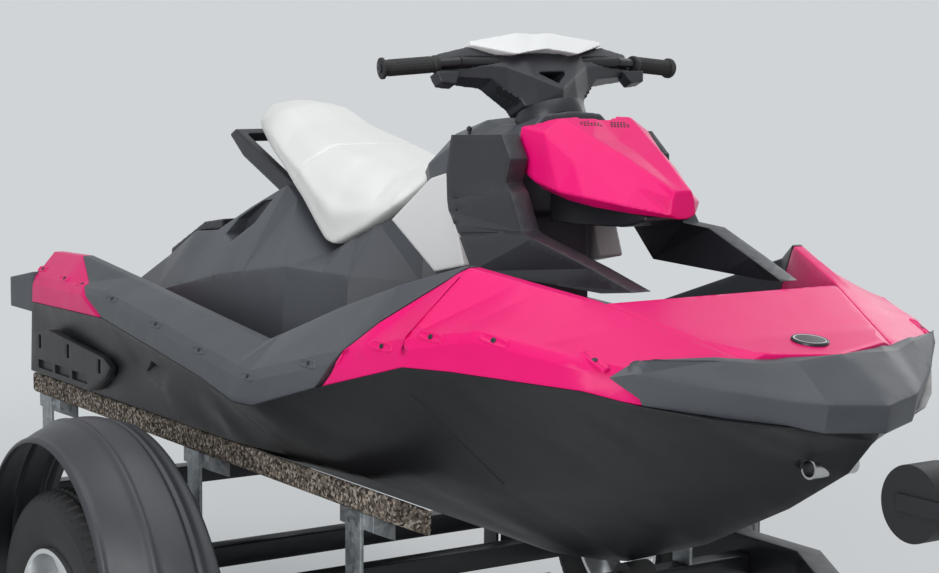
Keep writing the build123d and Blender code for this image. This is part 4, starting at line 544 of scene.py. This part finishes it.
def coordinates(mesh, what="co"):
    """The places, or the normals, of a mesh's corners as an array."""
    count = len(mesh.vertices)
    values = np.empty(count * 3)
    mesh.vertices.foreach_get(what, values)
    return values.reshape(-1, 3)


def applied(made):
    """The mesh of an object with its modifiers applied, and the modifiers removed."""
    graph = bpy.context.evaluated_depsgraph_get()
    mesh = bpy.data.meshes.new_from_object(made.evaluated_get(graph))
    made.modifiers.clear()
    made.data = mesh
    return mesh


def thinned(made, share):
    """The mesh of an object with a share of its triangles, the flat parts thinned first."""
    made.modifiers.new("thin", "DECIMATE").ratio = share
    return applied(made)


def blown_up(made):
    """Swells a skin with cloth pressure, its flat underside held, and caps how far a point moves."""
    start = coordinates(made.data)
    held = made.vertex_groups.new(name="held")
    under = np.nonzero(coordinates(made.data, "normal")[:, 2] < UNDERSIDE)[0]
    held.add(under.tolist(), 1.0, "REPLACE")
    cloth = made.modifiers.new("cloth", "CLOTH")
    cloth.settings.vertex_group_mass = "held"
    cloth.settings.use_pressure = True
    cloth.settings.uniform_pressure_force = SEAT_PRESSURE
    cloth.settings.effector_weights.gravity = 0.0
    for number in range(1, SEAT_FRAMES + 1):
        bpy.context.scene.frame_set(number)
    graph = bpy.context.evaluated_depsgraph_get()
    moved = coordinates(made.evaluated_get(graph).data) - start
    made.modifiers.clear()
    made.vertex_groups.clear()
    bpy.context.scene.frame_set(1)
    length = np.linalg.norm(moved, axis=1)[:, None]
    capped = moved * np.minimum(1, SEAT_CAP / np.maximum(length, 1e-9))
    made.data.vertices.foreach_set("co", (start + capped).ravel())


def seam_distance(points):
    """Distance fore and aft of each point from the seat's cross seam."""
    side = np.maximum(0, craft((0, 0, SEAM_SIDE_Z))[2] - points[:, 2])
    seam_x = craft((SEAM_MIDDLE_X, 0, 0))[0] - SEAM_SWEEP * np.abs(points[:, 1]) - SEAM_SIDE_SLOPE * side
    return (points[:, 0] - seam_x) / math.hypot(1, math.hypot(SEAM_SWEEP, SEAM_SIDE_SLOPE * 0.6))


def seat():
    """The seat: the solid's form drawn in, remeshed, softened, swelled as cloth and sewn.

    The seam's depth falls from its line as the 1.5th power of what is left of its half width.
    """
    mesh = node_mesh("seat", "seat_cushion")
    made = piece("seat_cushion", mesh, "white_vinyl", BODY_OF["seat"], ["seat"])
    remeshed(made, SEAT_VOXEL, SEAT_SMOOTHING)
    mesh = applied(made)
    drawn_in = coordinates(mesh) - SEAT_SHRINK * coordinates(mesh, "normal")
    mesh.vertices.foreach_set("co", drawn_in.ravel())
    blown_up(made)
    evened(made, SEAT_SETTLING)
    finer = made.modifiers.new("finer", "SUBSURF")
    finer.levels = 1
    finer.render_levels = 1
    mesh = applied(made)
    points, normals = coordinates(mesh), coordinates(mesh, "normal")
    near = np.clip(1 - np.abs(seam_distance(points)) / SEAM_HALF_WIDTH, 0, 1)
    groove = SEAM_DEPTH * near ** 1.5 * (normals[:, 2] > -0.4)
    mesh.vertices.foreach_set("co", (points - groove[:, None] * normals).ravel())
    thinned(made, SEAT_SHARE).shade_smooth()


def stitches():
    """Top stitching along both sides of the seam: short threads that lie on the skin."""
    skin = skin_of("seat_cushion")
    down = Vector((0, 0, -1))
    threads = []
    for row in (-STITCH_ROW, STITCH_ROW):
        line = []
        for y in np.arange(-STITCH_REACH, STITCH_REACH + 0.1, 2.0):
            z = SEAM_SIDE_Z
            for _ in range(6):
                x = SEAM_MIDDLE_X + row - SEAM_SWEEP * abs(y) - SEAM_SIDE_SLOPE * max(0, SEAM_SIDE_Z - z)
                hit = skin.ray_cast(Vector(craft((x, y, 1000.0))), down)[0]
                if hit is None:
                    break
                z = 0.5 * z + 0.5 * (hit.z / MILLIMETRE - KEEL_ABOVE_GROUND)
            if hit is not None:
                line.append(np.array(hit))
        line = np.array(line)
        run = np.concatenate([[0], np.cumsum(np.linalg.norm(np.diff(line, axis=0), axis=1))])
        starts = np.arange(0, run[-1] - STITCH_LENGTH * MILLIMETRE, STITCH_PITCH * MILLIMETRE)
        for start in starts:
            at = start + np.linspace(0, STITCH_LENGTH * MILLIMETRE, 4)
            thread = np.stack([np.interp(at, run, line[:, k]) for k in range(3)], axis=1)
            thread[:, 2] += 0.5 * MILLIMETRE * np.array((0.0, 1.0, 1.0, 0.0))
            threads.append(swept(thread, THREAD_RADIUS, 6))
    trim("seat_stitching", threads, 60, "white_plastic", "seat")


# Mudguards: a lip, a shoulder and a flank that meet the frame rail. Side to side, the arch goes
# through three lines: their places across, the heights of their centres and their radii
AXLE_X = 1189.9
WHEEL_Z = -185.0
FENDER_FORWARD = 10.0
FENDER_KNOTS = (0.0, 0.341, 1.0)
FENDER_Y = (870.0, 798.6, 660.5)
FENDER_CENTRE_Z = (-104.0, -139.9, -249.8)
FENDER_RADIUS = (315.0, 385.0, 487.0)
FENDER_FOOT_Z = -300.0
FENDER_WALL = 5.0
FENDER_ROWS = 66
FENDER_ARC_STEPS = 90
FENDER_LEG_STEPS = 8
# Each rib's place across, from 0 to 1, its width and its height in millimetres
FENDER_RIBS = ((0.035, 0.030, 6.0), (0.43, 0.035, 5.0), (0.80, 0.020, -5.0), (0.90, 0.06, -4.0))


def through_three(values, part):
    """The parabola in part that has each of the three values at its own knot."""
    total = 0
    for k, own in enumerate(FENDER_KNOTS):
        others = [knot for knot in FENDER_KNOTS if knot != own]
        weight = np.prod([(part - other) / (own - other) for other in others], axis=0)
        total = total + values[k] * weight
    return total


def fender(side):
    """A mudguard: arcs over the wheel whose centre and radius change smoothly from lip to flank.

    Each rib adds a height times a bell of its distance from the rib's line to the arc's radius.
    Below the arcs, straight legs go down to the foot at both ends.
    """
    part = np.linspace(0, 1, FENDER_ROWS)[:, None]
    y = np.interp(part, FENDER_KNOTS, FENDER_Y)
    centre_z = through_three(FENDER_CENTRE_Z, part)
    radius = through_three(FENDER_RADIUS, part)
    for at, width, height in FENDER_RIBS:
        radius = radius + height * np.exp(-((part - at) / width) ** 2)
    angle = np.linspace(0, np.pi, FENDER_ARC_STEPS)[None, :]
    arch_x = AXLE_X + FENDER_FORWARD - radius * np.cos(angle)
    arch_z = centre_z + radius * np.sin(angle)
    down = np.linspace(0, 1, FENDER_LEG_STEPS)[None, :]
    leg_z = FENDER_FOOT_Z + (centre_z - FENDER_FOOT_Z) * down
    rear_x, front_x = (np.repeat(arch_x[:, k, None], FENDER_LEG_STEPS, 1) for k in (0, -1))
    x = np.concatenate([rear_x, arch_x[:, 1:-1], front_x], 1)
    z = np.concatenate([leg_z, arch_z[:, 1:-1], leg_z[:, ::-1]], 1)
    points = craft(np.stack([x, side * np.broadcast_to(y, x.shape), z], axis=2))
    return joined_mesh("fender", [surface(points)])


def fenders():
    """Both mudguards, as sheets with a wall inwards; the highest face of each looks up."""
    for name, side in (("fender_port", 1), ("fender_starboard", -1)):
        mesh = fender(side)
        if max(mesh.polygons, key=lambda face: face.center.z).normal.z < 0:
            mesh.flip_normals()
        made = piece(name, mesh, "fender_plastic", BODY_OF["fenders"], ["fenders"])
        wall = made.modifiers.new("wall", "SOLIDIFY")
        wall.thickness = FENDER_WALL * MILLIMETRE
        wall.offset = -1
        mesh.shade_smooth()


# Tyres: a trailer tyre with four grooves round it, notched shoulders and slits between
TYRE_RADIUS = 290.0
TYRE_HALF_WIDTH = 82.5
TYRE_BULGE_RADIUS = 225.0
TYRE_SQUARENESS = 0.55
RIM_RADIUS = 165.0
TRACK_HALF = 762.5
TYRE_STEPS = 720
TYRE_SECTION_STEPS = 60
TREAD_WIDTH = 150.0
TREAD_INNER_RADIUS = 268.0
GROOVES_Y = (-44.0, -15.0, 15.0, 44.0)
GROOVE_WIDTH = 8.0
GROOVE_DEPTH = 6.0
SHOULDER_Y = 44.0
SHOULDER_LUGS = 58
CENTRE_LUGS = 72
SLIT_DEPTH_SHARE = 0.6
# The bead below the side wall: shares of the half width, and radii
BEAD_SHARES = np.array((0.985, 0.94, 0.86, 0.80))
BEAD_RADII = np.array((205.0, 184.0, 170.0, RIM_RADIUS + 0.4))


def plateau(distance, width, edge):
    """1 inside a width and 0 outside it, with a short ramp between."""
    return np.clip((width / 2 - np.abs(distance)) / edge + 0.5, 0, 1)


def cuts_across(around, y, count, slant, width, edge):
    """Plateaus spaced evenly round the tyre, each turned further by slant times y."""
    part = (around * count / (2 * np.pi) + y * slant) % 1 - 0.5
    return plateau(part * 2 * np.pi * TYRE_RADIUS / count, width, edge)


def tyre(side):
    """A tyre: a superellipse of section round the axle, cut by grooves round it and across it."""
    around = np.linspace(0, 2 * np.pi, TYRE_STEPS, endpoint=False)[:, None]
    lean = np.linspace(0, np.pi, TYRE_SECTION_STEPS)[None, :]
    y = -TYRE_HALF_WIDTH * np.sign(np.cos(lean)) * np.abs(np.cos(lean)) ** TYRE_SQUARENESS
    r = TYRE_BULGE_RADIUS + (TYRE_RADIUS - TYRE_BULGE_RADIUS) * np.sin(lean) ** TYRE_SQUARENESS
    tread = plateau(y, TREAD_WIDTH, 6.0) * (r > TREAD_INNER_RADIUS)
    cut = sum(plateau(y - at, GROOVE_WIDTH, 2.5) for at in GROOVES_Y)
    notch = cuts_across(around, np.abs(y), SHOULDER_LUGS, 0.012, 7.0, 2.0) * (np.abs(y) > SHOULDER_Y)
    slit = cuts_across(around, y, CENTRE_LUGS, 0.02, 3.5, 1.5) * (np.abs(y) <= SHOULDER_Y)
    depth = GROOVE_DEPTH * np.maximum(np.maximum(cut, notch), SLIT_DEPTH_SHARE * slit) * tread
    ring = 1.2 * plateau(r - 250, 6, 1.5) * (np.abs(y) > 70)
    bead_y = TYRE_HALF_WIDTH * BEAD_SHARES
    bead = np.tile(np.append(BEAD_RADII, BEAD_RADII[::-1]), (TYRE_STEPS, 1))
    radius = np.concatenate([r - depth, bead], 1)
    bead = np.tile(np.append(bead_y, -bead_y[::-1]), (TYRE_STEPS, 1))
    y = np.concatenate([np.broadcast_to(y + np.sign(y) * ring, depth.shape), bead], 1)
    x = AXLE_X + radius * np.sin(around)
    z = WHEEL_Z + radius * np.cos(around)
    points = craft(np.stack([x, side * TRACK_HALF + y, z], 2))
    return smoothed(joined_mesh("tyre", [surface(points, wrap_rows=True, wrap_columns=True)]), 40)


def tyres():
    """Both tyres, each on its own wheel."""
    for side, node in ((1, "tyre_left"), (-1, "tyre_right")):
        piece(node + "_tread", tyre(side), "tyre", BODY_OF[node], [node])


# Wheel trim: spokes that rise from the disc to the outer lip, a hub cap and five nuts
SPOKE_COUNT = 5
SPOKE_START = 38.0
SPOKE_REACH = RIM_RADIUS - 48
SPOKE_STEPS = 24
SPOKE_SIDES = 16
NUT_CIRCLE = 50.0
DISC_Y = 9.0
NUT_PROFILE = np.array([(0, 0), (9.0, 0), (9.0, 12), (6, 17), (0, 18)]) * MILLIMETRE
HUB_CAP_PROFILE = np.array([(0, 0), (34, 0), (34, 16), (31, 22), (20, 26), (0, 27)]) * MILLIMETRE


def spoke(side, turn):
    """A spoke: a rounded bar from the hub out to the lip, lifting towards the outer face.

    Its half width is least in the middle of its run, and its section is a superellipse.
    """
    run = np.linspace(0, 1, SPOKE_STEPS)[:, None]
    angle = (np.arange(SPOKE_SIDES) / SPOKE_SIDES * 2 * np.pi)[None, :]
    lift = 24 + 40 * run ** 0.9
    half = 24 - 8 * np.sin(np.pi * run)
    across = half * np.sign(np.cos(angle)) * np.abs(np.cos(angle)) ** 0.6
    up = lift + 9 * np.sign(np.sin(angle)) * np.abs(np.sin(angle)) ** 0.8
    spin = 2 * np.pi * turn / SPOKE_COUNT
    reach = np.broadcast_to(SPOKE_START + SPOKE_REACH * run, across.shape)
    x = AXLE_X + reach * np.sin(spin) + across * np.cos(spin)
    z = WHEEL_Z + reach * np.cos(spin) - across * np.sin(spin)
    points = craft(np.stack([x, side * (TRACK_HALF + up), z], 2))
    ends = np.repeat(points.mean(axis=1, keepdims=True), SPOKE_SIDES, 1)
    return surface(np.concatenate([ends[:1], points, ends[-1:]]), wrap_columns=True)


def nut(side, turn):
    """A wheel nut: a hexagon with a domed end."""
    spin = 2 * np.pi * (turn + 0.5) / SPOKE_COUNT
    x = AXLE_X + NUT_CIRCLE * np.sin(spin)
    z = WHEEL_Z + NUT_CIRCLE * np.cos(spin)
    return turned(NUT_PROFILE, craft((x, side * (TRACK_HALF + DISC_Y), z)), (0, side, 0), 6)


def wheel_trims():
    """The spokes, hub cap and nuts of both wheels."""
    for side, node in ((1, "rim_left"), (-1, "rim_right")):
        trim(node + "_spokes", [spoke(side, turn) for turn in range(SPOKE_COUNT)], 50, "alloy", node)
        centre = craft((AXLE_X, side * (TRACK_HALF + DISC_Y), WHEEL_Z))
        cap = turned(HUB_CAP_PROFILE, centre, (0, side, 0), 40)
        trim(node + "_nuts", [cap] + [nut(side, turn) for turn in range(SPOKE_COUNT)], 35, "steel", node)


# Small fittings are set on the moulding that carries them, at the nearest point of its skin
def skin_of(name):
    """The finished skin of a piece, for setting fittings on it."""
    return BVHTree.FromObject(bpy.data.objects[name], bpy.context.evaluated_depsgraph_get())


def footing(skin, place):
    """The point of a skin nearest to a place in craft millimetres, and the way the skin faces there."""
    at, normal, _, _ = skin.find_nearest(Vector(craft(place)))
    return np.array(at), np.array(normal)


def both_sides(places):
    """Each place with its side, then the place opposite."""
    return [(side, (x, side * y, z)) for x, y, z in places for side in (1, -1)]


def tray(at, normal, along, length, height, profile, sides=40):
    """A pressed oblong: a superellipse of the given size, scaled and lifted as each profile pair says."""
    along = along - normal * np.dot(along, normal)
    along /= np.linalg.norm(along)
    across = np.cross(normal, along)
    angle = np.arange(sides) / sides * 2 * np.pi
    u = np.sign(np.cos(angle)) * np.abs(np.cos(angle)) ** 0.45 * length / 2
    v = np.sign(np.sin(angle)) * np.abs(np.sin(angle)) ** 0.45 * height / 2
    profile = np.asarray(profile, float)
    inset, lift = profile[:, 0][:, None], profile[:, 1][:, None] * MILLIMETRE
    u = np.sign(u) * np.maximum(np.abs(u) - inset * MILLIMETRE, 0)
    v = np.sign(v) * np.maximum(np.abs(v) - inset * MILLIMETRE, 0)
    points = at + u[..., None] * along + v[..., None] * across + lift[..., None] * normal
    return surface(points, wrap_columns=True)


# The pockets that take the fixings along the craft's sides: body node, finish and places
NOTCH_LENGTH = 0.060
NOTCH_HEIGHT = 0.015
NOTCHES = {
    "side_rails": ((761, 506, 451), (1052, 534, 428), (1315, 559, 406), (1568, 578, 385), (1821, 581, 446)),
    "fairings": ((2052, 558, 506), (2170, 526, 535), (2307, 487, 545), (2477, 393, 524)),
    "rear_caps": ((176, 429, 458), (380, 458, 457), (508, 465, 455)),
}
RIM_PROFILE = ((-2.5, -2.0), (-1.0, 1.6), (0.6, 2.2), (1.8, 1.9), (3.4, 0.4), (60.0, 0.3))
RIVET_PROFILE = np.array([(0, -1), (5.2, -1), (5.2, 0.9), (4.3, 1.5), (2.2, 1.6), (1.9, 0.7), (0, 0.7)])
RIVET_LIFT = 0.6 * MILLIMETRE


def notches():
    """Oblong pockets with a raised rim, a floor in the moulding's own finish and a plastic rivet in each."""
    rivets = []
    for node, places in NOTCHES.items():
        skin = skin_of(node + "_moulding")
        rims = []
        for _, place in both_sides(places):
            at, normal = footing(skin, place)
            rims.append(tray(at, normal, np.array((1.0, 0.0, 0.0)), NOTCH_LENGTH, NOTCH_HEIGHT, RIM_PROFILE))
            rivets.append(turned(RIVET_PROFILE * MILLIMETRE, at + normal * RIVET_LIFT, normal, 18))
        trim(node + "_pocket_rims", rims, 50, SLOT_OF[node], node)
    trim("pocket_rivets", rivets, 50, "black_plastic", "side_rails")


# Grips: moulded rubber with a diamond pattern, a flange at the outer end and a collar at the inner
BAR_LINE = np.array([(1742.1, 368.0, 1003.0), (1771.3, 200.0, 1016.0)])
BAR_RADIUS = 11.2
GRIP_LENGTH = 125.0
GRIP_RADIUS = 16.3
GRIP_STEPS = 180
GRIP_SIDES = 60
FLANGE_HEIGHT = 5.2
COLLAR_HEIGHT = 1.6
DIAMOND_PITCH = 8.0
DIAMONDS_ROUND = 9
DIAMOND_HEIGHT = 1.1
PLUG_PROFILE = np.array([(0, 0), (9.5, 0), (9.5, -2.4), (7.5, -3.6), (3.2, -3.6), (2.6, -2.2), (0, -2.2)])


def grip(side):
    """A grip: a round sleeve whose radius rises by the product of two slanting waves, as diamonds do."""
    end, elbow = BAR_LINE * (1, side, 1)
    axis = (elbow - end) / np.linalg.norm(elbow - end)
    aside = np.cross(axis, (0, 0, 1.0))
    aside /= np.linalg.norm(aside)
    across = np.cross(axis, aside)
    run = np.linspace(0, GRIP_LENGTH, GRIP_STEPS)[:, None]
    angle = (np.arange(GRIP_SIDES) / GRIP_SIDES * 2 * np.pi)[None, :]
    wave = 2 * np.pi * run / DIAMOND_PITCH
    diamond = np.cos(wave + DIAMONDS_ROUND * angle) * np.cos(wave - DIAMONDS_ROUND * angle)
    pattern = plateau(run - 62, 92, 4) * np.maximum(diamond, -0.3) * DIAMOND_HEIGHT
    flange = FLANGE_HEIGHT * plateau(run - 4, 7.5, 2.5)
    collar = COLLAR_HEIGHT * plateau(run - 118, 10, 3)
    ends = np.full((1, GRIP_SIDES), BAR_RADIUS)
    radius = np.concatenate([ends, GRIP_RADIUS + pattern + flange + collar, ends])
    run = np.concatenate([run[:1], run, run[-1:]])
    points = (end + run[..., None] * axis + (radius * np.cos(angle))[..., None] * aside
              + (radius * np.sin(angle))[..., None] * across)
    return surface(craft(points), wrap_rows=True, wrap_columns=True)


def grips():
    """Both grips and the weights that close the bar's ends."""
    trim("grip_sleeves", [grip(1), grip(-1)], 50, "rubber", "grips", ["grips"])
    plugs = []
    for side in (1, -1):
        end, elbow = BAR_LINE * (1, side, 1)
        plugs.append(turned(PLUG_PROFILE * MILLIMETRE, craft(end), elbow - end, 32))
    trim("bar_end_plugs", plugs, 40, "black_plastic", "grips")


# Louvres beside the steering cover, and the vent in the hood. Their openings show only shade, so they are
# drawn as painted shade: dark rubber pieces set on the surface
LOUVRES = ((1783, 112, 962), (1791, 103, 954), (1799, 93, 946), (1806, 83, 938))
LOUVRE_LENGTH = 0.030
LOUVRE_HEIGHT = 0.0062
LIP_PROFILE = ((-1.0, -1.5), (0.0, 1.2), (1.0, 0.4))
# Each opening's floor: a dark sheet of painted shade
SLOT_SHADE_PROFILE = ((0.8, -1.0), (0.8, 0.5), (30, 0.5))
VENT_MIDDLE = (1990.0, 34.0, 897.0)
VENT_PITCH = 8.0
VENT_ROWS = 3
VENT_COLUMNS = 6
# Each hole as a dark dome of painted shade
VENT_SHADE_PROFILE = np.array([(0, -1.5), (2.7, -1.5), (2.7, 0.35), (1.5, 0.5), (0, 0.5)]) * MILLIMETRE


def louvres():
    """Louvres in both cheeks of the steering cover: a lip round each, and within it a narrow dark tray of
    painted shade where the opening shows only shade.
    """
    skin = skin_of("bar_cover_moulding")
    lips = []
    slot_shades = []
    for side, place in both_sides(LOUVRES):
        at, normal = footing(skin, place)
        along = np.array((0.55, side * 0.62, 0.30))
        lips.append(tray(at, normal, along, LOUVRE_LENGTH, LOUVRE_HEIGHT, LIP_PROFILE, 28))
        slot_shades.append(tray(at, normal, along, LOUVRE_LENGTH, LOUVRE_HEIGHT, SLOT_SHADE_PROFILE, 28))
    trim("louvre_lips", lips, 50, "black_plastic", "bar_cover")
    # The dark trays are painted shade: rubber sheets where the openings show only shade
    trim("louvre_slot_shades", slot_shades, 50, "rubber", "bar_cover")


def hood_vent_shades():
    """Two patches of round holes behind the hood's peaks, drawn as small dark rubber domes: painted shade for
    the holes.
    """
    skin = skin_of("hood_moulding")
    middle_x, middle_y, z = VENT_MIDDLE
    shade_studs = []
    for side in (1, -1):
        for row in range(VENT_ROWS):
            for column in range(VENT_COLUMNS):
                x = middle_x + (row - 1) * VENT_PITCH
                y = middle_y + (column - 2.5 + 0.5 * (row % 2)) * VENT_PITCH
                shade_studs.append(turned(VENT_SHADE_PROFILE, *footing(skin, (x, side * y, z)), 12))
    # Painted shade: dark rubber domes where the holes show only shade
    trim("hood_vent_shades", shade_studs, 50, "rubber", "hood")


# The plain boss on the bow deck and the pale ring on it
BOSS_AT = (2585.1, 0.0, 541.8)
BOSS_LEAN = math.radians(8.0)
BOSS_PROFILE = np.array([(0, -3.4), (34, -3.4), (34, 1.2), (32.6, 2.8), (30.4, 2.9), (29.4, 2.1), (24, 2.5),
                         (12, 3.1), (0, 3.3)]) * MILLIMETRE
RING_PROFILE = np.array([(29.6, 1.6), (29.4, 2.5), (28.6, 2.9), (27.8, 2.6), (27.6, 1.6)]) * MILLIMETRE


def boss():
    """The boss and its ring, turned about an axis that leans with the deck."""
    axis = (math.sin(BOSS_LEAN), 0, math.cos(BOSS_LEAN))
    disc, ring = (turned(profile, craft(BOSS_AT), axis, 72) for profile in (BOSS_PROFILE, RING_PROFILE))
    trim("bow_boss", [disc], 50, "black_plastic", "bow_roundel", ["bow_roundel"])
    trim("bow_boss_ring", [ring], 50, "white_plastic", "bow_roundel")


# The bolts that hold the bunk posts to the frame rails
POST_BOLT_X = (195.3, 1043.5, 1749.3)
POST_BOLT_Z = (-82.0, -48.0)
POST_BOLT_Y = 440.0
BOLT_HEAD = np.array([(0, 0), (9.2, 0), (9.2, 6.8), (8.2, 8.0), (0, 8.2)]) * MILLIMETRE
BOLT_WASHER = np.array([(0, -1.0), (13.0, -1.0), (13.0, 1.4), (12.4, 2.0), (0, 2.0)]) * MILLIMETRE
HEAD_LIFT = 1.5 * MILLIMETRE


def post_bolts():
    """Hexagon heads on round washers, two through the foot of each bunk post."""
    skin = skin_of("bunk_posts_moulding")
    parts = []
    for _, place in both_sides([(x, POST_BOLT_Y, z) for x in POST_BOLT_X for z in POST_BOLT_Z]):
        at, normal = footing(skin, place)
        parts.append(turned(BOLT_WASHER, at, normal, 28))
        parts.append(turned(BOLT_HEAD, at + normal * HEAD_LIFT, normal, 6))
    trim("post_bolts", parts, 30, "steel", "bunk_posts")


# Where the hull's two mouldings meet ahead of the well: a thin dark seam down each side
HULL_SEAM = ((2077, 509, 416), (2083, 469, 380), (2087, 404, 320), (2091, 305, 227))
SEAM_RADIUS = 1.3 * MILLIMETRE


def on_skin(skin, corners, count):
    """A line through corners in craft millimetres, laid on a skin."""
    return np.array([footing(skin, place)[0] for place in resampled(corners, count)])


def hull_seams():
    """A thin round bar half sunk in each side of the hull."""
    skin = skin_of("hull_moulding")
    lines = [on_skin(skin, np.array(HULL_SEAM, float) * (1, side, 1), 40) for side in (1, -1)]
    trim("hull_seams", [swept(line, SEAM_RADIUS, 8) for line in lines], 50, "rubber", "hull")


# Foot well mats: a sheet of small studs
MAT_X = (704.0, 1558.0)
MAT_Y = (328.0, 380.5)
STUD_PITCH = 12.0
STUD_HEIGHT = 2.2
SHEET_HEIGHT = 1.4
SHEET_SUNK = 1.0
MAT_ROWS = 300
MAT_COLUMNS = 24


def mat_treads():
    """Studded sheets: the mat's own top raised by the plateaus of two crossed waves.

    The height of the mat's top at each place is read from its own corners, and the sheet's edge is
    sunk in it.
    """
    corners = coordinates(frame["nodes"]["foot_mats"].data)
    first_x, last_x = (craft((x, 0, 0))[0] for x in MAT_X)
    x = np.linspace(first_x, last_x, MAT_ROWS)[:, None]
    y = np.linspace(*MAT_Y, MAT_COLUMNS)[None, :] * MILLIMETRE
    turn = 2 * np.pi / (STUD_PITCH * MILLIMETRE)
    wave = np.cos(turn * x) * np.cos(turn * y)
    rise = SHEET_HEIGHT + np.clip(np.abs(wave) * 3 - 1.0, 0, 1) * STUD_HEIGHT
    rise[[0, -1]] = 0
    rise[:, [0, -1]] = 0
    parts = []
    for side in (1, -1):
        own = corners[corners[:, 1] * side > 0]
        stations = np.unique(np.round(own[:, 0], 4))
        tops = np.array([own[np.abs(own[:, 0] - at) < 0.0005, 2].max() for at in stations])
        z = np.interp(x[:, 0], stations, tops)[:, None] + (rise - SHEET_SUNK) * MILLIMETRE
        parts.append(surface(np.stack(np.broadcast_arrays(x, side * y, z), axis=2)))
    trim("mat_treads", parts, 50, "rubber", "foot_mats")


# The view: where the camera stands, and how it is turned
CAMERA_AT = (3.2496, -2.5103, 1.5346)
CAMERA_YAW = 145.7265
CAMERA_PITCH = 6.8241
CAMERA_ROLL = 0.5037
CAMERA_LENS = 78.84
FLOOR_REACH = 60.0
BACKDROP = "#d0d4d7"
# Name, place, target, size in metres and power in watts
LAMPS = (
    ("overhead", (0.4, -0.6, 4.4), (0.2, 0, 0.6), 4.0, 80),
    ("starboard", (3.4, -5.2, 2.2), (0.2, 0, 0.8), 3.0, 160),
    ("port", (-1.5, 5.0, 3.2), (0.2, 0, 0.8), 3.0, 60),
)


def camera():
    """Looks along yaw and down by pitch, then rolls about the line of sight."""
    yaw, pitch, roll = (math.radians(a) for a in (CAMERA_YAW, CAMERA_PITCH, CAMERA_ROLL))
    ahead = Vector((math.cos(yaw) * math.cos(pitch), math.sin(yaw) * math.cos(pitch), -math.sin(pitch)))
    level = ahead.cross(Vector((0, 0, 1))).normalized()
    upright = level.cross(ahead)
    right = level * math.cos(roll) + upright * math.sin(roll)
    up = upright * math.cos(roll) - level * math.sin(roll)
    data = bpy.data.cameras.new("camera")
    data.lens = CAMERA_LENS
    data.sensor_width = 36
    made = bpy.data.objects.new("camera", data)
    made.matrix_world = Matrix((right, up, -ahead)).transposed().to_4x4()
    made.matrix_world.translation = CAMERA_AT
    bpy.context.collection.objects.link(made)
    bpy.context.scene.camera = made


def lamp(name, at, target, size, power):
    """A square soft lamp at a place, turned to a target."""
    data = bpy.data.lights.new(name, "AREA")
    data.shape = "SQUARE"
    data.size = size
    data.energy = power
    made = bpy.data.objects.new(name, data)
    direction = Vector(target) - Vector(at)
    made.matrix_world = Matrix.Translation(at) @ direction.to_track_quat("-Z", "Y").to_matrix().to_4x4()
    bpy.context.collection.objects.link(made)


def seen_directly(tree):
    """1 where the camera sees a thing itself or through a reflection, else 0."""
    path = add(tree, "ShaderNodeLightPath", {}).node.outputs
    both = add(tree, "ShaderNodeMath", {0: path["Is Camera Ray"], 1: path["Is Glossy Ray"]},
               operation="MAXIMUM")
    return add(tree, "ShaderNodeMath", {0: both, 1: path["Is Transmission Ray"]}, operation="MAXIMUM")


def floor():
    """A pale floor that goes over into the backdrop's own colour away from the craft."""
    mesh = bpy.data.meshes.new("floor")
    corners = [(x * FLOOR_REACH, y * FLOOR_REACH, 0) for x, y in ((-1, -1), (1, -1), (1, 1), (-1, 1))]
    mesh.from_pydata(corners, [], [(0, 1, 2, 3)])
    made = bpy.data.objects.new("floor", mesh)
    bpy.context.collection.objects.link(made)
    material, tree, coords = blank("floor_paint")
    cloud = add(tree, "ShaderNodeTexNoise", {"Vector": coords, "Scale": 1 / 1.5, "Detail": 3.0})
    paint = add(tree, "ShaderNodeMix", {0: cloud, 6: "#dcdfdf", 7: "#e2e4e4"}, 2, data_type="RGBA")
    matt = add(tree, "ShaderNodeBsdfPrincipled", {"Base Color": paint, "Roughness": 0.6})
    glow = add(tree, "ShaderNodeEmission", {"Color": BACKDROP, "Strength": 1.0})
    away = add(tree, "ShaderNodeVectorMath", {0: coords}, "Value", operation="LENGTH")
    far = add(tree, "ShaderNodeMapRange", {"Value": away, "From Min": 1.5, "From Max": 6.0, "To Min": 0.35},
              interpolation_type="SMOOTHSTEP")
    share = add(tree, "ShaderNodeMath", {0: seen_directly(tree), 1: far}, operation="MULTIPLY")
    blended = add(tree, "ShaderNodeMixShader", {0: share, 1: matt, 2: glow})
    add(tree, "ShaderNodeOutputMaterial", {"Surface": blended})
    mesh.materials.append(material)


def studio():
    """The floor, soft lamps above and beside, and a pale world."""
    floor()
    for settings in LAMPS:
        lamp(*settings)
    world = bpy.data.worlds.new("world")
    world.use_nodes = True
    tree = world.node_tree
    tree.nodes.clear()
    light = add(tree, "ShaderNodeBackground", {"Color": "#dfe3e6", "Strength": 0.42})
    backdrop = add(tree, "ShaderNodeBackground", {"Color": BACKDROP, "Strength": 1.0})
    both = add(tree, "ShaderNodeMixShader", {0: seen_directly(tree), 1: light, 2: backdrop})
    add(tree, "ShaderNodeOutputWorld", {"Surface": both})
    bpy.context.scene.world = world
    bpy.context.scene.view_settings.view_transform = "Standard"


dress_nodes()
mouldings()
rounded_mouldings()
seat()
fenders()
tyres()
wheel_trims()
notches()
stitches()
grips()
louvres()
hood_vent_shades()
boss()
hull_seams()
post_bolts()
mat_treads()
camera()
studio()
